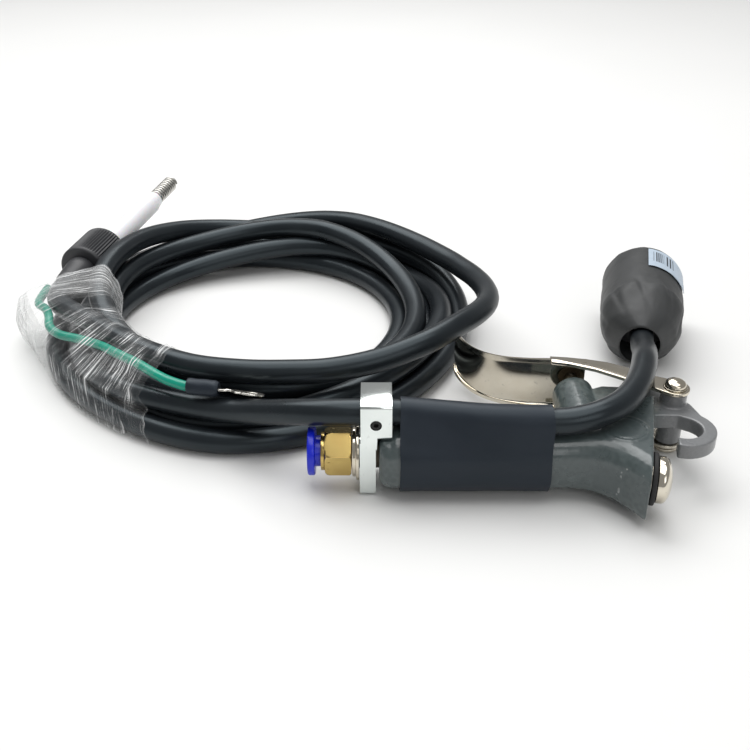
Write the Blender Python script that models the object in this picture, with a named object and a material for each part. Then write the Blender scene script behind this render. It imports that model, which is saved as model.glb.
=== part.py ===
"""Hand-held trigger gun with its supply lead, lying on its side on a table.

Lengths below are in millimetres and are turned into metres where meshes are made.
X runs along the handle from its air inlet towards the head, Y across the gun,
and Z up from the table.
"""

import math

import bmesh
import bpy
from mathutils import Vector

MM = 0.001
GAP = 0.3                 # clearance kept between neighbouring meshes

# Where the middle of the gun's own box is, in the layout's coordinates.
CENTRE_X = 52.738
CENTRE_Y = -59.24

# Handle, a rounded bar along X
HANDLE_LEFT = 1.5
HANDLE_RIGHT = 80.0
HANDLE_Y = -83.5
HANDLE_Z = 14.9
HANDLE_HALF_Y = 14.0
HANDLE_HALF_Z = 11.4
HANDLE_CORNER = 8.0

# Head, a block whose end face is turned 13 degrees from the handle's axis
HEAD_BOTTOM = 3.3
HEAD_TOP = 27.5
HEAD_TURN = math.radians(-13.3)
PLUG_SEAT = (100.23, -102.17)

# Trigger and its pivot
PIVOT = (118.8, -58.8)
PIVOT_BORE = 2.8
PIN_RADIUS = 2.5
ARM_TOP_Z = (27.0, 28.5)
ARM_LOW_Z = (2.5, 4.0)
ARM_END_RADIUS = 5.8
SHEET = 1.5

# Valve, along Y under the trigger
VALVE_X = 82.0
MID_Z = 15.5
BOSS_FACE_Y = -43.0
BOSS_RADIUS = 8.5

# Base bracket and inlet
INLET_Y = -83.0
INLET_Z = 14.5
BRACKET_Y = (-92.2, -73.6)
CABLE_BORE_Y = -83.0
CABLE_Z = 31.9

# Cable, coil and earth wire
CABLE_RADIUS = 5.15
WIRE_RADIUS = 2.0
LAYER_ONE = 10.3
LAYER_TWO = 20.6
RING_CENTRE = (-57.0, 42.75)
RING_OUTER = (93.5, 109.0)
RING_INNER_CENTRE = (-55.5, 40.5)
RING_INNER = (64.5, 77.5)
UPPER_CENTRE = (-50.2, 47.25)
UPPER_OUTER = (84.3, 95.75)

# Far connector
CONNECTOR_REAR = Vector((-147.1, 64.3, 24.0))
CONNECTOR_AXIS = Vector((0.207, 0.977, 0.040)).normalized()

# Plug at the short lead's end
PLUG_NEAR = Vector((122.3, 10.2, 19.6))
PLUG_AXIS = Vector((0.225, 0.974, 0.0)).normalized()
PLUG_RADIUS = 19.5
PLUG_LENGTH = 50.0

ROUTE_HELD = [(-4.0, -83.0, 31.9), (7.0, -83.05, 31.9), (20.4, -85.2, 31.9), (38.7, -88.0, 31.9),
              (55.0, -89.2, 31.9), (66.0, -89.7, 31.95)]
ROUTE_SHORT_LEAD = [
    (66.7, -89.75, 32.0), (71.5, -89.9, 32.4), (77.0, -89.4, 33.2), (84.0, -87.2, 34.2),
    (92.7, -80.8, 35.0), (99.6, -70.7, 35.2), (104.6, -59.6, 35.0), (108.3, -48.3, 34.4),
    (111.6, -36.5, 31.2), (114.6, -24.5, 26.6), (117.2, -12.5, 22.4), (119.3, -3.5, 20.4),
    (121.2, 5.0, 19.9), (122.6, 11.5, 19.65), (124.1, 18.0, 19.6),
]
ROUTE_LEAD_IN = [
    (-4.9, -83.0, 31.9), (-12.0, -82.9, 31.8), (-20.0, -81.4, 30.9), (-30.0, -77.0, 28.2),
    (-41.0, -70.2, 23.9), (-53.0, -62.5, 19.4), (-65.0, -56.3, 16.6), (-77.0, -50.8, 15.9),
    (-92.0, -43.3, 15.9), (-104.0, -35.2, 15.9),
]
ROUTE_TOP_TURN = [
    (-131.0, 56.0, 26.1), (-127.3, 68.0, 26.1), (-118.0, 91.3, 26.1), (-97.0, 118.4, 26.1),
    (-70.0, 131.4, 26.1), (-42.2, 134.6, 26.1), (-13.9, 128.8, 26.2), (9.0, 115.6, 26.2),
    (27.6, 99.4, 25.2), (40.6, 84.0, 24.8), (49.3, 66.6, 25.6), (53.4, 46.5, 27.2),
    (52.4, 24.4, 29.8), (46.6, 3.2, 32.8), (36.6, -15.4, 34.3), (21.4, -30.6, 33.2),
    (2.0, -38.4, 29.4), (-18.0, -41.9, 26.7), (-36.0, -42.6, 26.1), (-55.0, -42.1, 26.1),
    (-76.0, -37.6, 26.1), (-96.0, -26.2, 26.1), (-113.0, -12.0, 26.1), (-129.0, 4.2, 26.0),
    (-144.0, 17.5, 25.2), (-152.2, 32.0, 24.0), (-151.5, 45.6, 23.3),
]
ROUTE_EARTH = [
    (-159.6, 46.0, 22.5), (-159.9, 34.0, 22.5), (-158.6, 25.0, 23.6), (-153.2, 16.8, 25.0),
    (-149.6, 9.6, 25.2), (-146.2, 1.6, 24.2), (-140.0, -5.2, 23.8), (-128.4, -12.0, 24.8),
    (-117.6, -20.3, 26.2), (-109.6, -28.0, 27.0), (-98.8, -37.4, 27.4), (-91.4, -44.0, 27.0),
    (-84.2, -50.0, 26.7), (-76.0, -54.6, 26.5),
]
LUG_AXIS = Vector((0.985, -0.11, -0.035)).normalized()
LUG_ROLL = math.radians(-27)


def material(name, colour, roughness, metallic):
    """A plain Principled material."""
    made = bpy.data.materials.new(name)
    made.use_nodes = True
    shader = made.node_tree.nodes["Principled BSDF"]
    shader.inputs["Base Color"].default_value = (*colour, 1.0)
    shader.inputs["Roughness"].default_value = roughness
    shader.inputs["Metallic"].default_value = metallic
    return made


def place(point):
    """A layout point in millimetres as a world point in metres."""
    return Vector(((point[0] - CENTRE_X) * MM, (point[1] - CENTRE_Y) * MM, point[2] * MM))


def finish(name, bm, origin, look, smooth):
    """Turn a bmesh in layout millimetres into an object whose origin is the given point."""
    base = place(origin)
    for vert in bm.verts:
        vert.co = place(vert.co) - base
    bmesh.ops.recalc_face_normals(bm, faces=bm.faces)
    if sum(face.calc_center_median().dot(face.normal) * face.calc_area() for face in bm.faces) < 0:
        bmesh.ops.reverse_faces(bm, faces=bm.faces)
    mesh = bpy.data.meshes.new(name)
    bm.to_mesh(mesh)
    bm.free()
    if smooth:
        mesh.shade_smooth()
        mesh.set_sharp_from_angle(angle=math.radians(35))
    made = bpy.data.objects.new(name, mesh)
    made.location = base
    if look is not None:
        mesh.materials.append(look)
    bpy.context.scene.collection.objects.link(made)
    return made


def loft(name, rings, look, origin=(0, 0, 0), smooth=True):
    """A closed body through rings of equal point counts, capped at both ends."""
    bm = bmesh.new()
    rows = [[bm.verts.new(point) for point in ring] for ring in rings]
    count = len(rings[0])
    for near, far in zip(rows, rows[1:]):
        for k in range(count):
            bm.faces.new((near[k], near[(k + 1) % count], far[(k + 1) % count], far[k]))
    bm.faces.new(rows[0])
    bm.faces.new(rows[-1])
    return finish(name, bm, origin, look, smooth)


def closed_loft(name, rings, look, origin=(0, 0, 0)):
    """A closed band: the last ring joins the first one."""
    bm = bmesh.new()
    rows = [[bm.verts.new(point) for point in ring] for ring in rings]
    count = len(rings[0])
    for near, far in zip(rows, rows[1:] + rows[:1]):
        for k in range(count):
            bm.faces.new((near[k], near[(k + 1) % count], far[(k + 1) % count], far[k]))
    return finish(name, bm, origin, look, True)


def shell(name, outer, inner, look):
    """A tube wall between two sets of rings, closed by its two rims."""
    bm = bmesh.new()
    skins = [[[bm.verts.new(p) for p in ring] for ring in rings] for rings in (outer, inner)]
    count = len(outer[0])
    for skin in skins:
        for near, far in zip(skin, skin[1:]):
            for k in range(count):
                bm.faces.new((near[k], near[(k + 1) % count], far[(k + 1) % count], far[k]))
    for end in (0, -1):
        out, into = skins[0][end], skins[1][end]
        for k in range(count):
            bm.faces.new((out[k], out[(k + 1) % count], into[(k + 1) % count], into[k]))
    return finish(name, bm, (0, 0, 0), look, True)


def prism(name, outline, low, high, look, origin=(0, 0, 0), smooth=False):
    """An outline in plan, extruded from one height to another."""
    rings = [[(x, y, z) for x, y in outline] for z in (low, high)]
    return loft(name, rings, look, origin, smooth)


def frame_of(axis):
    """Two unit vectors square to an axis."""
    axis = Vector(axis).normalized()
    side = axis.cross(Vector((0, 0, 1)))
    if side.length < 0.1:
        side = axis.cross(Vector((1, 0, 0)))
    side.normalize()
    return side, axis.cross(side).normalized()


def turned(name, profile, base, axis, look, sides=24, origin=None, spin=0.0):
    """A turned piece. The profile is a closed loop of (radius, distance along the axis).

    Points at radius 0 become single poles, so a solid piece starts and ends on the axis.
    """
    base, axis = Vector(base), Vector(axis).normalized()
    side, up = frame_of(axis)
    bm = bmesh.new()
    columns = []
    for k in range(sides):
        angle = spin + 2 * math.pi * k / sides
        spoke = side * math.cos(angle) + up * math.sin(angle)
        columns.append([base + axis * along + spoke * radius for radius, along in profile])
    poles = {}
    for i, (radius, along) in enumerate(profile):
        if radius == 0:
            poles[i] = bm.verts.new(base + axis * along)
    grid = [[poles.get(i) or bm.verts.new(point) for i, point in enumerate(column)]
            for column in columns]
    count = len(profile)
    for k in range(sides):
        here, there = grid[k], grid[(k + 1) % sides]
        for i in range(count):
            j = (i + 1) % count
            if i in poles and j in poles:
                continue
            corners = [here[i], here[j], there[j], there[i]]
            unique = [v for n, v in enumerate(corners) if v not in corners[:n]]
            bm.faces.new(unique)
    return finish(name, bm, base if origin is None else origin, look, True)


def rod(name, radius, base, axis, length, look=None, sides=24):
    """A plain cylinder from a point along an axis."""
    profile = [(0, 0), (radius, 0), (radius, length), (0, length)]
    return turned(name, profile, base, axis, look, sides)


def pipe(name, outer, inner, base, axis, length, look, sides=24):
    """A plain hollow cylinder."""
    profile = [(inner, 0), (outer, 0), (outer, length), (inner, length)]
    return turned(name, profile, base, axis, look, sides)


def cutter(made):
    """Mark an object as a guide that only cuts or joins another one."""
    made.hide_render = True
    made.display_type = "WIRE"
    return made


def combine(target, other, operation):
    """Add a Boolean modifier that uses a guide object."""
    modifier = target.modifiers.new(operation.title(), "BOOLEAN")
    modifier.operation = operation
    modifier.solver = "EXACT"
    modifier.object = cutter(other)


def rounded_rect(centre_u, centre_v, half_u, half_v, corner, steps=4):
    """Points around a rounded rectangle, anticlockwise."""
    points = []
    for quarter, (su, sv) in enumerate(((1, 1), (-1, 1), (-1, -1), (1, -1))):
        for k in range(steps + 1):
            angle = math.pi / 2 * (quarter + k / steps)
            points.append((centre_u + su * (half_u - corner) + corner * math.cos(angle),
                           centre_v + sv * (half_v - corner) + corner * math.sin(angle)))
    return points


def arc(centre, radius, start, stop, steps):
    """Points on an arc, in degrees."""
    angles = [math.radians(start + (stop - start) * k / steps) for k in range(steps + 1)]
    return [(centre[0] + radius * math.cos(a), centre[1] + radius * math.sin(a)) for a in angles]


def smooth_route(route, spacing):
    """Evenly spaced points on a Catmull-Rom curve through a route's points."""
    points = [Vector(p) for p in route]
    points = [2 * points[0] - points[1]] + points + [2 * points[-1] - points[-2]]
    fine = []
    for a, b, c, d in zip(points, points[1:], points[2:], points[3:]):
        for k in range(16):
            t = k / 16
            fine.append(0.5 * (2 * b + (c - a) * t + (2 * a - 5 * b + 4 * c - d) * t * t
                               + (3 * b - a - 3 * c + d) * t ** 3))
    fine.append(points[-2])
    along = [0.0]
    for a, b in zip(fine, fine[1:]):
        along.append(along[-1] + (b - a).length)
    count = max(2, round(along[-1] / spacing))
    result, at = [], 0
    for k in range(count + 1):
        want = along[-1] * k / count
        while at < len(fine) - 2 and along[at + 1] < want:
            at += 1
        part = (want - along[at]) / max(along[at + 1] - along[at], 1e-9)
        result.append(fine[at].lerp(fine[at + 1], min(1.0, part)))
    return result


def tube(name, route, radius, spacing, look, resolution=3):
    """A cable as a round curve with filled ends."""
    points = smooth_route(route, spacing)
    points.insert(1, points[0] + (Vector(route[1]) - points[0]).normalized() * 1.5)
    points.insert(-1, points[-1] + (Vector(route[-2]) - points[-1]).normalized() * 1.5)
    curve = bpy.data.curves.new(name, "CURVE")
    curve.dimensions = "3D"
    curve.bevel_depth = radius * MM
    curve.bevel_resolution = resolution
    curve.use_fill_caps = True
    spline = curve.splines.new("POLY")
    spline.points.add(len(points) - 1)
    for target, point in zip(spline.points, points):
        target.co = (*place(point), 1.0)
    curve.materials.append(look)
    made = bpy.data.objects.new(name, curve)
    bpy.context.scene.collection.objects.link(made)
    return made


def hull(points):
    """Convex hull of points in a plane, anticlockwise."""
    points = sorted(set(points))

    def half(ordered):
        chain = []
        for p in ordered:
            while len(chain) > 1:
                (ax, ay), (bx, by) = chain[-2], chain[-1]
                if (bx - ax) * (p[1] - ay) - (by - ay) * (p[0] - ax) > 0:
                    break
                chain.pop()
            chain.append(p)
        return chain[:-1]

    return half(points) + half(points[::-1])


def resampled(outline, count):
    """A closed outline again, with evenly spaced points that start at its lowest angle."""
    closed = outline + outline[:1]
    along = [0.0]
    for a, b in zip(closed, closed[1:]):
        along.append(along[-1] + math.dist(a, b))
    result, at = [], 0
    for k in range(count):
        want = along[-1] * k / count
        while along[at + 1] < want:
            at += 1
        part = (want - along[at]) / (along[at + 1] - along[at])
        a, b = closed[at], closed[at + 1]
        result.append((a[0] + (b[0] - a[0]) * part, a[1] + (b[1] - a[1]) * part))
    return result


# ---- Casting -------------------------------------------------------------------------

def handle_ring(x, grow):
    """One section of the handle, grown by a distance on every side."""
    corner = min(HANDLE_CORNER + min(grow, 0), HANDLE_HALF_Z + grow)
    return [(x, y, z) for y, z in rounded_rect(HANDLE_Y, HANDLE_Z, HANDLE_HALF_Y + grow,
                                               HANDLE_HALF_Z + grow, corner)]


def head_block():
    """The head: flared towards the near side, with its end face turned."""
    outline = [
        (70.0, -97.4), (77.0, -97.8), (84.0, -99.8), (90.4, -105.6), (97.2, -115.2),
        (109.8, -62.9), (84.0, -66.2), (77.4, -69.3), (70.0, -69.8),
    ]
    block = prism("head_block", outline, HEAD_BOTTOM, HEAD_TOP, None)
    bevel = block.modifiers.new("Bevel", "BEVEL")
    bevel.width = 2.6 * MM
    bevel.segments = 3
    bevel.limit_method = "ANGLE"
    bevel.angle_limit = math.radians(60)
    return block


def hook_outline():
    """Plan of the plate that carries the pivot and ends in the hanging hook."""
    eye = (118.3, -77.0)
    outer = arc(eye, 12.7, 42, -112, 12)
    inner = arc(eye, 7.4, -120, 62, 12)
    return ([(92.0, -75.0), (88.0, -60.0), (88.0, -48.0), (93.0, -45.6), (108.0, -46.8),
             (115.0, -49.3), (121.4, -53.6), (125.6, -59.6)]
            + outer + inner + [(118.6, -68.4), (108.0, -68.4), (100.0, -75.0)])


def gun_body(look):
    """The cast body, with handle, head, hook plate, bosses and all its bores."""
    rings = [handle_ring(HANDLE_LEFT, -4.4), handle_ring(HANDLE_LEFT + 0.8, -2.6),
             handle_ring(HANDLE_LEFT + 2.1, -1.8), handle_ring(HANDLE_LEFT + 4.7, -1.6),
             handle_ring(HANDLE_LEFT + 6.0, -0.3), handle_ring(HANDLE_RIGHT, 0.0)]
    body = loft("gun_body", rings, look)
    combine(body, head_block(), "UNION")
    combine(body, rod("maker_pad", 8.7, (93.2, -87.7, HEAD_TOP - 3.1), (0, 0, 1), 3.6), "UNION")
    combine(body, prism("hook_plate", hook_outline(), 15.0, 21.3, None), "UNION")
    combine(body, rod("valve_boss", BOSS_RADIUS, (VALVE_X, -72.0, MID_Z), (0, 1, 0),
                      BOSS_FACE_Y + 72.0), "UNION")
    combine(body, rod("pivot_boss", 5.2, (*PIVOT, ARM_LOW_Z[1] + GAP), (0, 0, 1),
                      ARM_TOP_Z[0] - ARM_LOW_Z[1] - 2 * GAP), "UNION")
    axis = (math.cos(HEAD_TURN), math.sin(HEAD_TURN), 0)
    plug_base = plug_point(0.0)
    cuts = [
        turned("air_bore", [(0, 0), (6.8, 0), (6.8, 17.0), (4.0, 17.0), (4.0, 80.5), (0, 80.5)],
               (-0.4, INLET_Y, INLET_Z), (1, 0, 0), None, 20),
        rod("valve_bore", 5.8, (VALVE_X, -92.0, MID_Z), (0, 1, 0), 60.0),
        rod("pivot_bore", PIVOT_BORE, (*PIVOT, 0.0), (0, 0, 1), 40.0, sides=20),
        turned("head_bore", [(0, -6.6), (6.3, -6.6), (6.3, 5.0), (0, 5.0)], plug_base, axis, None, 20),
        rod("cross_bore", 1.8, (VALVE_X, -84.0, MID_Z),
            plug_point(-6.0) - Vector((VALVE_X, -84.0, MID_Z)), 18.0, sides=12),
    ]
    for cut in cuts:
        combine(body, cut, "DIFFERENCE")
    return body


def plug_point(out):
    """A point on the axis of the head plug, at a distance out of the end face."""
    middle = Vector((*PLUG_SEAT, MID_Z))
    axis = Vector((math.cos(HEAD_TURN), math.sin(HEAD_TURN), 0))
    return middle + axis * out


def head_plug(nickel, rubber):
    """Domed screw plug in the end face, on its gasket."""
    axis = (math.cos(HEAD_TURN), math.sin(HEAD_TURN), 0)
    dome = [(0, -5.6), (5.9, -5.6), (5.9, 2.6), (8.7, 2.6), (8.75, 4.6)]
    dome += [(8.75 * math.cos(a), 4.6 + 3.5 * math.sin(a)) for a in (0.4, 0.8, 1.15)]
    dome += [(0, 8.1)]
    turned("head_plug", dome, plug_point(0.0), axis, nickel, 28)
    pipe("plug_gasket", 9.9, 6.3, plug_point(0.5), axis, 1.8, rubber, 28)


def valve(steel, brass, rubber):
    """Valve in its bore: stem, gland, seal, seat, poppet spring and end cap."""
    stem = [(0, 0), (2.2, 0), (2.2, 33.2), (5.0, 33.2), (5.0, 35.6), (2.0, 35.6), (2.0, 38.5), (0, 38.5)]
    turned("valve_stem", stem, (VALVE_X, -36.8, MID_Z), (0, -1, 0), steel, 20)
    pipe("valve_gland", 5.5, 2.5, (VALVE_X, BOSS_FACE_Y, MID_Z), (0, -1, 0), 7.0, brass, 24)
    pipe("valve_seal", 5.4, 2.5, (VALVE_X, BOSS_FACE_Y - 7.3, MID_Z), (0, -1, 0), 2.0, rubber, 20)
    pipe("valve_seat", 5.5, 2.9, (VALVE_X, -66.0, MID_Z), (0, -1, 0), 3.6, brass, 20)
    spring("valve_spring", (VALVE_X, -73.4, MID_Z), (0, -1, 0), 3.6, 0.45, 16.0, 5, steel)


def spring(name, base, axis, radius, wire, length, turns, look, steps=12, sides=6):
    """An open helical spring as one closed solid."""
    side, up = frame_of(axis)
    axis, base = Vector(axis).normalized(), Vector(base)
    rings = []
    for k in range(turns * steps + 1):
        angle = 2 * math.pi * k / steps
        spoke = side * math.cos(angle) + up * math.sin(angle)
        centre = base + axis * (length * k / (turns * steps)) + spoke * radius
        rings.append([centre + spoke * wire * math.cos(b) + axis * wire * math.sin(b)
                      for b in (2 * math.pi * s / sides for s in range(sides))])
    return loft(name, rings, look)


def pivot(nickel):
    """Rivet through the trigger's arms, its washer and its domed cap."""
    pin = [(0, 0), (4.6, 0), (4.9, 0.6), (4.9, 1.7), (PIN_RADIUS, 1.7), (PIN_RADIUS, 30.4), (0, 30.4)]
    turned("pivot_pin", pin, (*PIVOT, 0.0), (0, 0, 1), nickel, 24)
    cap = [(2.7, 0), (4.2, 0), (4.2, 0.8), (3.6, 1.9), (2.9, 2.4), (0, 2.8), (0, 2.1), (2.7, 2.0)]
    turned("pivot_cap", cap, (*PIVOT, 29.2), (0, 0, 1), nickel, 24)
    pipe("pivot_washer", 4.6, 2.8, (*PIVOT, ARM_TOP_Z[1] + 0.1), (0, 0, 1), 0.5, nickel, 24)


# ---- Trigger -------------------------------------------------------------------------

def trigger(look):
    """Folded sheet trigger: a finger plate with turned edges, and two arms to the pivot."""
    path = smooth_route([(88.0, -35.2, 0), (74.0, -33.2, 0), (64.0, -32.6, 0), (54.0, -30.4, 0),
                         (46.0, -25.6, 0), (40.6, -18.6, 0), (37.4, -11.0, 0), (36.0, -4.4, 0)], 5.0)
    rings = []
    for k, point in enumerate(path):
        ahead = (path[min(k + 1, len(path) - 1)] - path[max(k - 1, 0)]).normalized()
        inward = Vector((-ahead.y, ahead.x, 0))
        part = k / (len(path) - 1)
        half = 13.0 - 3.4 * part
        depth = 5.2 - 3.0 * part
        section = [(0, -half), (0, half), (depth, half), (depth, half - SHEET), (SHEET, half - SHEET),
                   (SHEET, SHEET - half), (depth, SHEET - half), (depth, -half)]
        rings.append([point + inward * u + Vector((0, 0, MID_Z + w)) for u, w in section])
    made = loft("trigger", rings, look, (*PIVOT, MID_Z))
    for label, (low, high) in (("arm_top", ARM_TOP_Z), ("arm_low", ARM_LOW_Z)):
        combine(made, prism(label, arm_outline(), low, high, None), "UNION")
    combine(made, rod("trigger_bore", PIVOT_BORE, (*PIVOT, 0.0), (0, 0, 1), 40.0, sides=20),
            "DIFFERENCE")
    return made


def arm_outline():
    """Plan of one trigger arm, from the finger plate to its round end."""
    end = arc(PIVOT, ARM_END_RADIUS, 48, -132, 12)
    return ([(73.0, -38.4), (73.0, -33.5), (80.0, -34.35), (88.0, -36.0), (96.0, -38.6),
             (104.0, -43.2), (112.0, -49.4)] + end + [(99.3, -51.2), (90.0, -44.6), (80.0, -40.0)])


# ---- Bracket and inlet ---------------------------------------------------------------

def base_bracket(look):
    """Bright bracket that holds the inlet below and clamps the cable above."""
    near, far = BRACKET_Y
    mid, half = (near + far) / 2, (far - near) / 2

    def rounded_slab(x, low, high, corner=3.2):
        outline = rounded_rect(mid, (low + high) / 2, half, (high - low) / 2, corner, 3)
        return [(x, y, z) for y, z in outline]

    plate = loft("base_bracket", [rounded_slab(-5.7, 0.0, 25.6), rounded_slab(0.3, 0.0, 25.6)], look)
    steps = ((-4.3, 20.0), (0.7, 20.0), (0.9, 25.1), (5.8, 25.1))
    upper = loft("clamp_block", [rounded_slab(x, low, 40.0, 1.6) for x, low in steps], None)
    combine(plate, upper, "UNION")
    combine(plate, rod("cable_bore", CABLE_RADIUS + 0.35, (-10, CABLE_BORE_Y, CABLE_Z), (1, 0, 0), 20),
            "DIFFERENCE")
    combine(plate, rod("screw_bore", 2.15, (0.4, near - 2, CABLE_Z - 0.2), (0, 1, 0), 7.5, sides=16),
            "DIFFERENCE")
    combine(plate, rod("nipple_bore", 6.8, (-10, INLET_Y, INLET_Z), (1, 0, 0), 12), "DIFFERENCE")
    return plate


def clamp_screw(look):
    """Headless clamp screw with a hexagon socket."""
    screw = turned("clamp_screw", [(0, 0), (1.0, 0), (1.0, -1.4), (1.85, -1.4), (1.85, 2.0), (0, 2.0)],
                   (0.4, -90.7, CABLE_Z - 0.2), (0, 1, 0), look, 12)
    return screw


def inlet(nickel, brass, blue, rubber, steel):
    """Nipple, locknut and the push-in fitting with its release collet."""
    left = (-1, 0, 0)
    pipe("inlet_nipple", 6.4, 3.4, (13.0, INLET_Y, INLET_Z), left, 21.6, brass, 24)
    turned("inlet_locknut", [(6.7, 0), (11.1, 0), (11.1, 1.2), (9.8, 1.3), (9.8, 2.7), (6.7, 2.7)],
           (-6.0, INLET_Y, INLET_Z), left, nickel, 28)
    hexagon = [(5.3, 0), (8.8, 0), (9.8, 0.9), (9.8, 7.1), (8.8, 8.0), (7.3, 8.0), (7.3, 5.6), (5.3, 5.6)]
    body = turned("fitting_body", hexagon, (-9.0, INLET_Y, INLET_Z), left, brass, 6, spin=math.radians(18))
    pipe("fitting_end_ring", 7.4, 6.3, (-17.3, INLET_Y, INLET_Z), left, 3.2, brass, 24)
    turned("release_collet", [(5.1, 0), (5.9, 0), (5.9, 5.0), (9.1, 5.0), (9.3, 5.6), (9.3, 7.2),
                              (9.0, 7.8), (5.1, 7.8)],
           (-17.7, INLET_Y, INLET_Z), left, blue, 28)
    return body


# ---- Grip sleeve and held cable ------------------------------------------------------

def sleeve_outline(x, cable_y, cable_z, grow):
    """Section around the handle and the cable that lies on it."""
    handle = [(y, z) for _, y, z in handle_ring(x, grow)]
    radius = CABLE_RADIUS + grow
    cable = [(cable_y + radius * math.cos(a), cable_z + radius * math.sin(a))
             for a in (2 * math.pi * k / 24 for k in range(24))]
    outline = resampled(hull(handle + cable), 40)
    return [(x, y, z) for y, z in outline]


def grip_sleeve(look):
    """Shrunk sleeve that binds the cable to the handle."""
    stations = [spot for spot in smooth_route(ROUTE_HELD, 6.3) if spot.x > 8.0]
    outer = [sleeve_outline(*station, 1.15) for station in stations]
    inner = [sleeve_outline(*station, 0.35) for station in stations]
    return shell("grip_sleeve", outer, inner, look)


# ---- Coil, connector, earth wire and film ---------------------------------------------

def on_ellipse(centre, size, angle):
    return centre[0] + size[0] * math.cos(angle), centre[1] + size[1] * math.sin(angle)


def coil(look):
    """The coiled cable's outer shape: a wide lower layer and a narrower upper one."""
    rings = []
    for k in range(48):
        angle = 2 * math.pi * k / 48
        ix, iy = on_ellipse(RING_INNER_CENTRE, RING_INNER, angle)
        ux, uy = on_ellipse(UPPER_CENTRE, UPPER_OUTER, angle)
        ox, oy = on_ellipse(RING_CENTRE, RING_OUTER, angle)
        inner, upper, outer = Vector((ix, iy, 0)), Vector((ux, uy, 0)), Vector((ox, oy, 0))
        out = (outer - inner).normalized()
        rings.append([
            inner + out * 2 + Vector((0, 0, 0.2)), outer - out * 3 + Vector((0, 0, 0.2)),
            outer + Vector((0, 0, 3.2)), outer + Vector((0, 0, 7.4)),
            outer - out * 3 + Vector((0, 0, LAYER_ONE)), upper + Vector((0, 0, LAYER_ONE)),
            upper + Vector((0, 0, LAYER_TWO - 3)), upper - out * 3 + Vector((0, 0, LAYER_TWO)),
            inner + out * 3 + Vector((0, 0, LAYER_TWO)), inner + Vector((0, 0, LAYER_TWO - 3)),
            inner + Vector((0, 0, 3))])
    return closed_loft("cable_coil", rings, look)


def connector(black, white, steel):
    """Boot, knurled union nut, insulating rod and spring contact on the lead's far end."""
    axis, rear = CONNECTOR_AXIS, CONNECTOR_REAR
    boot = [(0, -17.6), (6.1, -17.6), (6.9, -16.8), (7.6, -4.0), (7.6, -0.4), (0, -0.4)]
    turned("connector_boot", boot, rear, axis, black, 24)
    nut = [(5.5, 0), (11.4, 0), (12.0, 0.8), (12.0, 25.2), (11.4, 26.0), (5.5, 26.0)]
    turned("union_nut", nut, rear, axis, black, 32)
    rod_profile = [(0, 0), (5.1, 0), (5.1, 91.0), (4.3, 92.6), (0, 92.6)]
    turned("insulator_rod", rod_profile, rear, axis, white, 24)
    spring("contact_spring", rear + axis * 93.6, axis, 3.6, 0.65, 25.0, 9, steel, 10, 6)
    rod("contact_core", 2.0, rear + axis * 92.9, axis, 24.0, steel, 12)


def earth_wire(green, black, tin):
    """Earth wire over the film, with its shrink sleeve and ring lug."""
    tube("earth_wire", ROUTE_EARTH, WIRE_RADIUS, 8.0, green, 2)
    sleeve_at = Vector(ROUTE_EARTH[-1]) + LUG_AXIS * 0.8
    turned("earth_sleeve", [(0, 0), (3.0, 0), (3.3, 0.6), (3.2, 12.4), (2.6, 13.0), (0, 13.0)],
           sleeve_at, LUG_AXIS, black, 16)
    start = sleeve_at + LUG_AXIS * 13.4
    flat = Vector((0, 0, 1)).cross(LUG_AXIS).normalized()
    square = LUG_AXIS.cross(flat)
    across = flat * math.cos(LUG_ROLL) + square * math.sin(LUG_ROLL)
    normal = LUG_AXIS.cross(across)
    tongue = [(0, -1.6), (5.5, -1.6), (7.6, -4.0)]
    eye = arc((13.0, 0), 5.3, -131, 131, 12)
    outline = tongue + eye + [(7.6, 4.0), (5.5, 1.6), (0, 1.6)]
    rings = [[start + LUG_AXIS * u + across * v + normal * w for u, v in outline] for w in (-0.4, 0.4)]
    ring = loft("earth_lug", rings, tin, smooth=False)
    combine(ring, rod("lug_hole", 2.65, start + LUG_AXIS * 13.0 - normal * 6, normal, 12, sides=16),
            "DIFFERENCE")


def film(look):
    """Stretch film over the bundle's left side: an open arch, its walls down to the table."""
    rings = []
    for k in range(9):
        angle = math.radians(183 + 52 * k / 8)
        ox, oy = on_ellipse(RING_CENTRE, RING_OUTER, angle)
        ix, iy = on_ellipse(RING_INNER_CENTRE, RING_INNER, angle)
        outer, inner = Vector((ox, oy, 0)), Vector((ix, iy, 0))
        out = (outer - inner).normalized()
        wide = 1.4 + 14.0 * (1 - k / 8) ** 1.4
        arch = [(outer + out * wide, 0.3), (outer + out * wide, 23.0),
                (outer + out * (wide - 6.0), 33.2), (inner + out * 3.0, 33.2),
                (inner - out * 1.2, 29.0), (inner - out * 1.2, 0.3)]
        thin = [(outer + out * (wide - 0.6), 0.3), (outer + out * (wide - 0.6), 22.9),
                (outer + out * (wide - 6.3), 32.6), (inner + out * 3.3, 32.6),
                (inner - out * 0.6, 28.7), (inner - out * 0.6, 0.3)]
        rings.append([p + Vector((0, 0, z)) for p, z in arch]
                     + [p + Vector((0, 0, z)) for p, z in thin[::-1]])
    return loft("film_wrap", rings, look)


def shroud_ring(top_along, low_along, top, low, half):
    """One slanted oval section of the plug's cover."""
    side, _ = frame_of(PLUG_AXIS)
    points = []
    for k in range(32):
        angle = 2 * math.pi * k / 32
        rise = math.sin(angle)
        along = low_along + (top_along - low_along) * (1 + rise) / 2
        spot = PLUG_NEAR + PLUG_AXIS * along + side * (half * math.cos(angle))
        spot.z = (top + low) / 2 + (top - low) / 2 * rise
        points.append(spot)
    return points


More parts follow.
